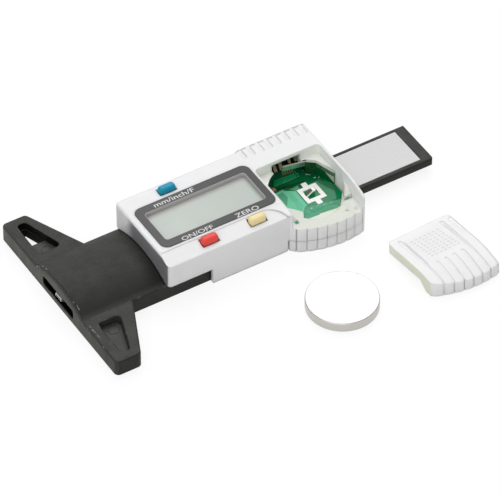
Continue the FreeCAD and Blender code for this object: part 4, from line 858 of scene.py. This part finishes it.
# Each line is a width and a path.
TRACES = (
    (0.22, [(69.06, 4.7), (70.3, 3.85), (75.6, 3.85), (77.5, 3.95), (77.65, 4.76),
            (77.44, 5.69), (77.79, 6.9)]),
    (0.14, [(69.4, 5.6), (71.2, 5.75), (75.4, 5.45), (76.9, 5.5), (77.0, 6.4)]),
)
GAP_TRIANGLE = [(68.58, 0.46), (70.4, 0.75), (70.5, -1.1), (70.5, -1.6), (68.44, -4.6)]
GAPS = (
    (0.13, [(68.9, 0.62), (70.7, 0.95), (72.1, -0.15), (72.15, -2.0), (72.05, -6.6),
            (70.9, -7.8)]),
    (0.13, [(70.75, 0.35), (71.6, -0.5), (71.65, -2.0), (71.5, -6.2), (70.5, -7.4)]),
    (0.13, [(70.75, -0.5), (71.15, -1.2), (71.1, -2.2), (71.0, -5.7), (70.2, -6.9)]),
)
# Painted highlights: light streaks across the board, each a width and a path.
HIGHLIGHT_STREAKS = (
    (0.5, [(72.6, -9.9), (76.0, -9.9), (79.0, -10.1), (81.0, -10.5)]),
    (0.4, [(71.2, -9.6), (72.0, -10.4)]),
)
EDGE_LINE = ((0.3, [(74.4, -11.62), (77.2, -11.9), (79.9, -12.2), (80.6, -11.8)]),)

# Small printed marks: X, Y, length, width and turn.
MARKS = ((80.0, 5.5, 1.3, 0.2, 35), (79.6, 3.4, 0.7, 0.3, -35), (80.2, 2.9, 0.4, 0.25, 0),
         (82.8, 2.2, 0.6, 0.2, 60), (82.9, 0.95, 0.9, 0.2, -30), (80.8, 1.2, 0.6, 0.35, 0),
         (81.8, 0.7, 0.6, 0.25, 40), (73.7, -8.5, 0.45, 0.4, -15), (75.6, -8.6, 0.8, 0.12, -10),
         (77.5, -9.0, 1.0, 0.14, -10), (79.4, -9.3, 0.9, 0.12, -10))

# Bare fingers at the far edge: X, Y, length and width. They slant by FINGER_SLANT.
FINGERS = ((73.0, 8.5, 2.6, 0.9), (74.7, 8.3, 3.0, 0.9), (78.0, 9.5, 2.4, 0.8),
           (80.1, 9.3, 2.6, 1.2))
FINGER_SLANT = (0.35, 0.94)

ROUND_PAD = ((68.1, 69.5), (2.3, 3.8), 0.45)

# The comb of leads: each starts at X and the near Y and leans to the rear; both ends drop a
# little from one lead to the next.
COMB_LEADS, COMB_WIDE, COMB_LEAN = 5, 0.4, 0.45
COMB_X, COMB_PITCH = 74.15, 0.68
COMB_NEAR_Y, COMB_NEAR_DROP = 6.4, 0.06
COMB_FAR_Y, COMB_FAR_DROP = 7.85, 0.1

# The sill's outline past the arc of the seat, along the board's near-rear corner.
SILL_CORNER = [(84.2, -7.3), (82.6, -9.6), (80.7, -11.95), (79.9, -12.4), (77.2, -12.1),
               (74.3, -11.8), (71.0, -11.6)]

# Green seen through the ledge's holes: name, X, Y, Z, length and width.
LEDGE_SLOTS = (("near", 66.2, -13.1, RIM_TOP - 0.1, 1.06, 1.06),
               ("rear", 82.8, -12.3, RIM_TOP, 0.9, 0.75))
LEDGE_SLOT_CORNER = 0.1


def board_film(name, loops, level, finish):
    """A film on the board: level 1 lies on the mask, level 2 on level 1."""
    plate(name, loops, BOARD_TOP + FILM * (level - 1), FILM, finish)


def mark_outlines():
    """The outlines of the printed marks."""
    loops = []
    for x, y, long, wide, turn in MARKS:
        half = Vector((math.cos(math.radians(turn)), math.sin(math.radians(turn)))) * long / 2
        loops += ribbon([(x - half.x, y - half.y), (x + half.x, y + half.y)], wide)
    return loops


def pad_outlines():
    """The outlines of a round pad, a comb of five leads and four bare fingers."""
    loops = [rounded(*ROUND_PAD)]
    for index in range(COMB_LEADS):
        x = COMB_X + index * COMB_PITCH
        far_end = (x + COMB_LEAN, COMB_FAR_Y - index * COMB_FAR_DROP)
        near_end = (x, COMB_NEAR_Y - index * COMB_NEAR_DROP)
        loops += ribbon([far_end, near_end], COMB_WIDE)
    for x, y, long, wide in FINGERS:
        tip = (x + FINGER_SLANT[0] * long, y + FINGER_SLANT[1] * long)
        loops += ribbon([(x, y), tip], wide)
    return loops


def dress_board():
    """Lacquer, copper, marks and bare pads, painted reflections, highlights, light and shadow, and
    the housing's sill over the near corner.
    """
    for name, level, finish, outline in BOARD_AREAS:
        board_film(name, [outline], level, finish)
    board_film("pcb_traces", ribbons(TRACES), 2, "board_line")
    board_film("pcb_gaps", [GAP_TRIANGLE] + ribbons(GAPS), 2, "board_shaded")
    board_film("pcb_highlights", ribbons(HIGHLIGHT_STREAKS), 2, "board_highlight")
    board_film("pcb_marks", mark_outlines(), 2, "mark")
    board_film("pcb_pit_shadow", [PIT_SHADOW], 1, "board_pit_shadow")
    plate("pcb_pads", pad_outlines(), BOARD_TOP, PADS_THICK, "gold")
    board_film("pcb_edge", ribbons(EDGE_LINE), 2, "board_edge")
    seat = arc(SEAT_CENTRE, SEAT_RADIUS, SEAT_NEAR_REAR)
    plate("bay_sill", [seat + SILL_CORNER], BOARD_TOP + FILM * 2, SILL_THICK, "sill")
    for name, x, y, z, long, wide in LEDGE_SLOTS:
        ends = ((x - long / 2, x + long / 2), (y - wide / 2, y + wide / 2))
        plate("ledge_slot_" + name, [rounded(*ends, LEDGE_SLOT_CORNER)], z, FILM, "board_reflection_and_slot_green")


# ---------------------------------------------------------------- marks of the moulds

RING_RADIUS = 1.55
RING_WIDE = 0.16
RING_THICK = 0.05
POCKET_FLOOR = 2.6
RING_CENTRES = (("near", (6.7, -17.6)), ("far", (6.7, 17.6)))


def dress_pockets():
    """Faint ejector-pin circles on the floors of the two wing pockets."""
    for name, centre in RING_CENTRES:
        circle = arc(centre, RING_RADIUS, range(0, 360, 12))
        plate("ejector_ring_" + name, ribbon(circle, RING_WIDE, closed=True), POCKET_FLOOR,
              RING_THICK, "black_plastic", bevel=0.01)


# ---------------------------------------------------------------- cover

# The cover lies turned by a little, and its trim is set out along and across it.
COVER_YAW = math.radians(2.4)
COVER_ALONG = Vector((math.cos(COVER_YAW), math.sin(COVER_YAW)))
COVER_ACROSS = Vector((math.sin(COVER_YAW), -math.cos(COVER_YAW)))
DASH_START = Vector((90.8, -31.7))
DASH_ROWS, DASH_ROW_PITCH, DASH_ROW_SHIFT = 8, 1.16, 0.16
DASH_COLUMNS, DASH_PITCH = 7, 1.42
DASH_LONG, DASH_WIDE, DASH_CORNERS = 0.42, 0.16, 8
DASH_RINGS = ((-0.02, 1.0), (0.015, 1.0), (0.035, 0.6))     # height, share of the size
LEVEL_ENOUGH = 0.9
LINES = (((89.1, -30.6), 12.0), ((102.0, -30.0), 13.0))     # start and length
LINE_STEPS, LINE_FADE_STEPS = 22, 8
LINE_WIDE, LINE_THINNEST = 0.14, 0.15
LINE_PROFILE = ((-1, -0.02), (-0.6, 0.015), (0.6, 0.015), (1, -0.02))     # share of width, height
RAY_START_Z = 50


def cover_top(tree, place):
    """The point and normal of the cover's surface under a place."""
    above = Vector((place.x * MM, place.y * MM, RAY_START_Z * MM))
    return tree.ray_cast(above, Vector((0, 0, -1)))[:2]


def tube(mesh, rings):
    """Joins rings of corners into a closed body."""
    count = len(rings[0])
    for first, second in zip(rings, rings[1:]):
        for k in range(count):
            after = (k + 1) % count
            mesh.faces.new((first[k], first[after], second[after], second[k]))
    mesh.faces.new(rings[-1])
    mesh.faces.new(rings[0][::-1])


def add_dash(mesh, place, normal):
    """A small raised dash that lies on the surface."""
    side = COVER_ALONG.to_3d()
    side = (side - normal * side.dot(normal)).normalized()
    other = normal.cross(side)
    turns = [math.radians(360 * (k + 0.5) / DASH_CORNERS) for k in range(DASH_CORNERS)]
    rings = []
    for height, grow in DASH_RINGS:
        rings.append([mesh.verts.new(place + (normal * height
                                              + side * (DASH_LONG * math.cos(turn) * grow)
                                              + other * (DASH_WIDE * math.sin(turn) * grow)) * MM)
                      for turn in turns])
    tube(mesh, rings)


def add_line(mesh, tree, start, length):
    """A faint raised line across the lid, which thins out towards its end."""
    rings = []
    for step in range(LINE_STEPS + 1):
        middle = Vector(start) + COVER_ACROSS * (length * step / LINE_STEPS)
        place, normal = cover_top(tree, middle)
        width = LINE_WIDE * min(1, (LINE_STEPS - step) / LINE_FADE_STEPS + LINE_THINNEST)
        side = COVER_ALONG.to_3d() * width * MM
        rings.append([mesh.verts.new(place + side * reach + normal * height * MM)
                      for reach, height in LINE_PROFILE])
    tube(mesh, rings)


def cover_trim(name, mesh):
    """Makes a piece of the cover from a finished mesh."""
    data = bpy.data.meshes.new(name)
    mesh.to_mesh(data)
    mesh.free()
    keep(placed(name, data), "battery_cover", "dash")


def dress_cover():
    """Rows of small raised dashes and two faint lines, laid on the lid's own surface, in a pale
    grey that is painted shade of the lid's small relief.
    """
    lid = NODES["battery_cover"].data
    tree = BVHTree.FromPolygons([v.co[:] for v in lid.vertices],
                                [p.vertices[:] for p in lid.polygons])
    dashes = bmesh.new()
    for row in range(DASH_ROWS):
        for column in range(DASH_COLUMNS):
            along = COVER_ALONG * (column * DASH_PITCH + row * DASH_ROW_SHIFT)
            middle = DASH_START + along + COVER_ACROSS * row * DASH_ROW_PITCH
            place, normal = cover_top(tree, middle)
            if place is not None and normal.z >= LEVEL_ENOUGH:
                add_dash(dashes, place, normal)
    cover_trim("cover_dashes", dashes)
    lines = bmesh.new()
    for start, length in LINES:
        add_line(lines, tree, start, length)
    cover_trim("cover_lines", lines)


# ---------------------------------------------------------------- cell

PLUS_FROM_CENTRE = 5.6
PLUS_ARM = 1.1
PLUS_HALF = 0.16
RIM_RADIUS = 9.78
RIM_WIDE = 0.16
PRINT_THICK = 0.012


def dress_cell():
    """A plus sign on the can, and a grey line of painted shade round the edge of its top."""
    x, y = CELL_CENTRE[0], CELL_CENTRE[1] + PLUS_FROM_CENTRE
    corners = [(PLUS_ARM, PLUS_HALF), (PLUS_HALF, PLUS_HALF), (PLUS_HALF, PLUS_ARM)]
    cross = []
    for _quarter in range(4):
        cross += [(x + u, y + v) for u, v in corners]
        corners = [(-v, u) for u, v in corners]
    plate("cell_plus", [cross], CELL_TOP, PRINT_THICK, "screw_steel", "battery")
    rim = arc(CELL_CENTRE, RIM_RADIUS, range(0, 360, 4))
    plate("cell_rim", ribbon(rim, RIM_WIDE, closed=True), CELL_TOP, PRINT_THICK, "cell_rim_shade",
          "battery")


# ---------------------------------------------------------------- floor, light and camera

FLOOR_REACH = 4000
FLOOR_DROP = 0.02
FLOOR_WHITE = 0.86
FLOOR_SEEN_GLOW, FLOOR_SEEN_LIT = 0.86, 0.16
SKY_LOW, SKY_HIGH = 0.34, 0.62

# Name, strength, azimuth, elevation and spread.
LAMPS = (("key", 1.38, 150, 58, 50), ("fill", 0.65, -50, 40, 60))

CAMERA_AZIMUTH = math.radians(-31.481)
CAMERA_ELEVATION = math.radians(44.278)
CAMERA_TARGET = Vector((54.433, -8.381, 0)) * MM
CAMERA_DISTANCE = 1340.3 * MM
CAMERA_LENS = 360
CAMERA_SENSOR = 36


def bright_where_seen(nodes, plain, seen):
    """Mixes two shaders: one for light that falls on things, one for what an eye, a mirror
    or glass shows."""
    rays = nodes.add("ShaderNodeLightPath").outputs
    shown = nodes.either(rays["Is Camera Ray"], rays["Is Glossy Ray"], rays["Is Transmission Ray"])
    mix = nodes.add("ShaderNodeMixShader")
    for socket, value in zip(mix.inputs, (shown, plain, seen)):
        nodes.link(value, socket)
    return mix.outputs[0]


def make_floor():
    """A wide white floor that keeps the object's shadow."""
    mesh = bpy.data.meshes.new("floor")
    reach = FLOOR_REACH * MM
    mesh.from_pydata([(-reach, -reach, 0), (reach, -reach, 0), (reach, reach, 0),
                      (-reach, reach, 0)], [], [(0, 1, 2, 3)])
    floor = placed("floor", mesh)
    floor.location = (0, 0, -FLOOR_DROP * MM)
    material = bpy.data.materials.new("floor_white")
    material.use_nodes = True
    nodes = Nodes(material.node_tree)
    plain = nodes.shader("ShaderNodeBsdfDiffuse", Color=(FLOOR_WHITE,) * 3 + (1,))
    dim = nodes.shader("ShaderNodeBsdfDiffuse", Color=(FLOOR_SEEN_LIT,) * 3 + (1,))
    glow = nodes.shader("ShaderNodeEmission", Strength=FLOOR_SEEN_GLOW)
    lit = nodes.add("ShaderNodeAddShader")
    nodes.link(dim, lit.inputs[0])
    nodes.link(glow, lit.inputs[1])
    output = nodes.add("ShaderNodeOutputMaterial")
    nodes.link(bright_where_seen(nodes, plain, lit.outputs[0]), output.inputs[0])
    mesh.materials.append(material)


def make_world():
    """Plain light that grows towards the zenith, and white wherever it is seen."""
    world = bpy.data.worlds.new("studio")
    scene.world = world
    world.use_nodes = True
    nodes = Nodes(world.node_tree)
    split = nodes.add("ShaderNodeSeparateXYZ")
    nodes.link(nodes.add("ShaderNodeTexCoord").outputs["Generated"], split.inputs[0])
    climb = nodes.span(split.outputs["Z"], 0.0, 0.9, SKY_LOW, SKY_HIGH, shape="LINEAR")
    plain = nodes.shader("ShaderNodeBackground", Strength=climb)
    seen = nodes.shader("ShaderNodeBackground", Strength=1.0)
    output = nodes.add("ShaderNodeOutputWorld")
    nodes.link(bright_where_seen(nodes, plain, seen), output.inputs[0])


def make_lamp(name, strength, azimuth, elevation, spread):
    """A wide sun: soft light from one side of the sky."""
    data = bpy.data.lights.new(name, "SUN")
    data.energy = strength
    data.angle = math.radians(spread)
    lamp = placed(name, data)
    lamp.rotation_euler = (math.radians(90 - elevation), 0, math.radians(azimuth))


def make_camera():
    """A long lens, turned and raised to the photograph's view."""
    data = bpy.data.cameras.new("camera")
    data.lens = CAMERA_LENS
    data.sensor_width = CAMERA_SENSOR
    camera = placed("camera", data)
    back = Vector((math.sin(CAMERA_AZIMUTH) * math.cos(CAMERA_ELEVATION),
                   -math.cos(CAMERA_AZIMUTH) * math.cos(CAMERA_ELEVATION),
                   math.sin(CAMERA_ELEVATION)))
    camera.location = CAMERA_TARGET + back * CAMERA_DISTANCE
    camera.rotation_euler = back.to_track_quat("Z", "Y").to_euler()
    scene.camera = camera


dress_nodes()
dress_display()
dress_board()
dress_pockets()
dress_cover()
dress_cell()
make_floor()
make_world()
for lamp_row in LAMPS:
    make_lamp(*lamp_row)
make_camera()
scene.view_settings.view_transform = "Standard"
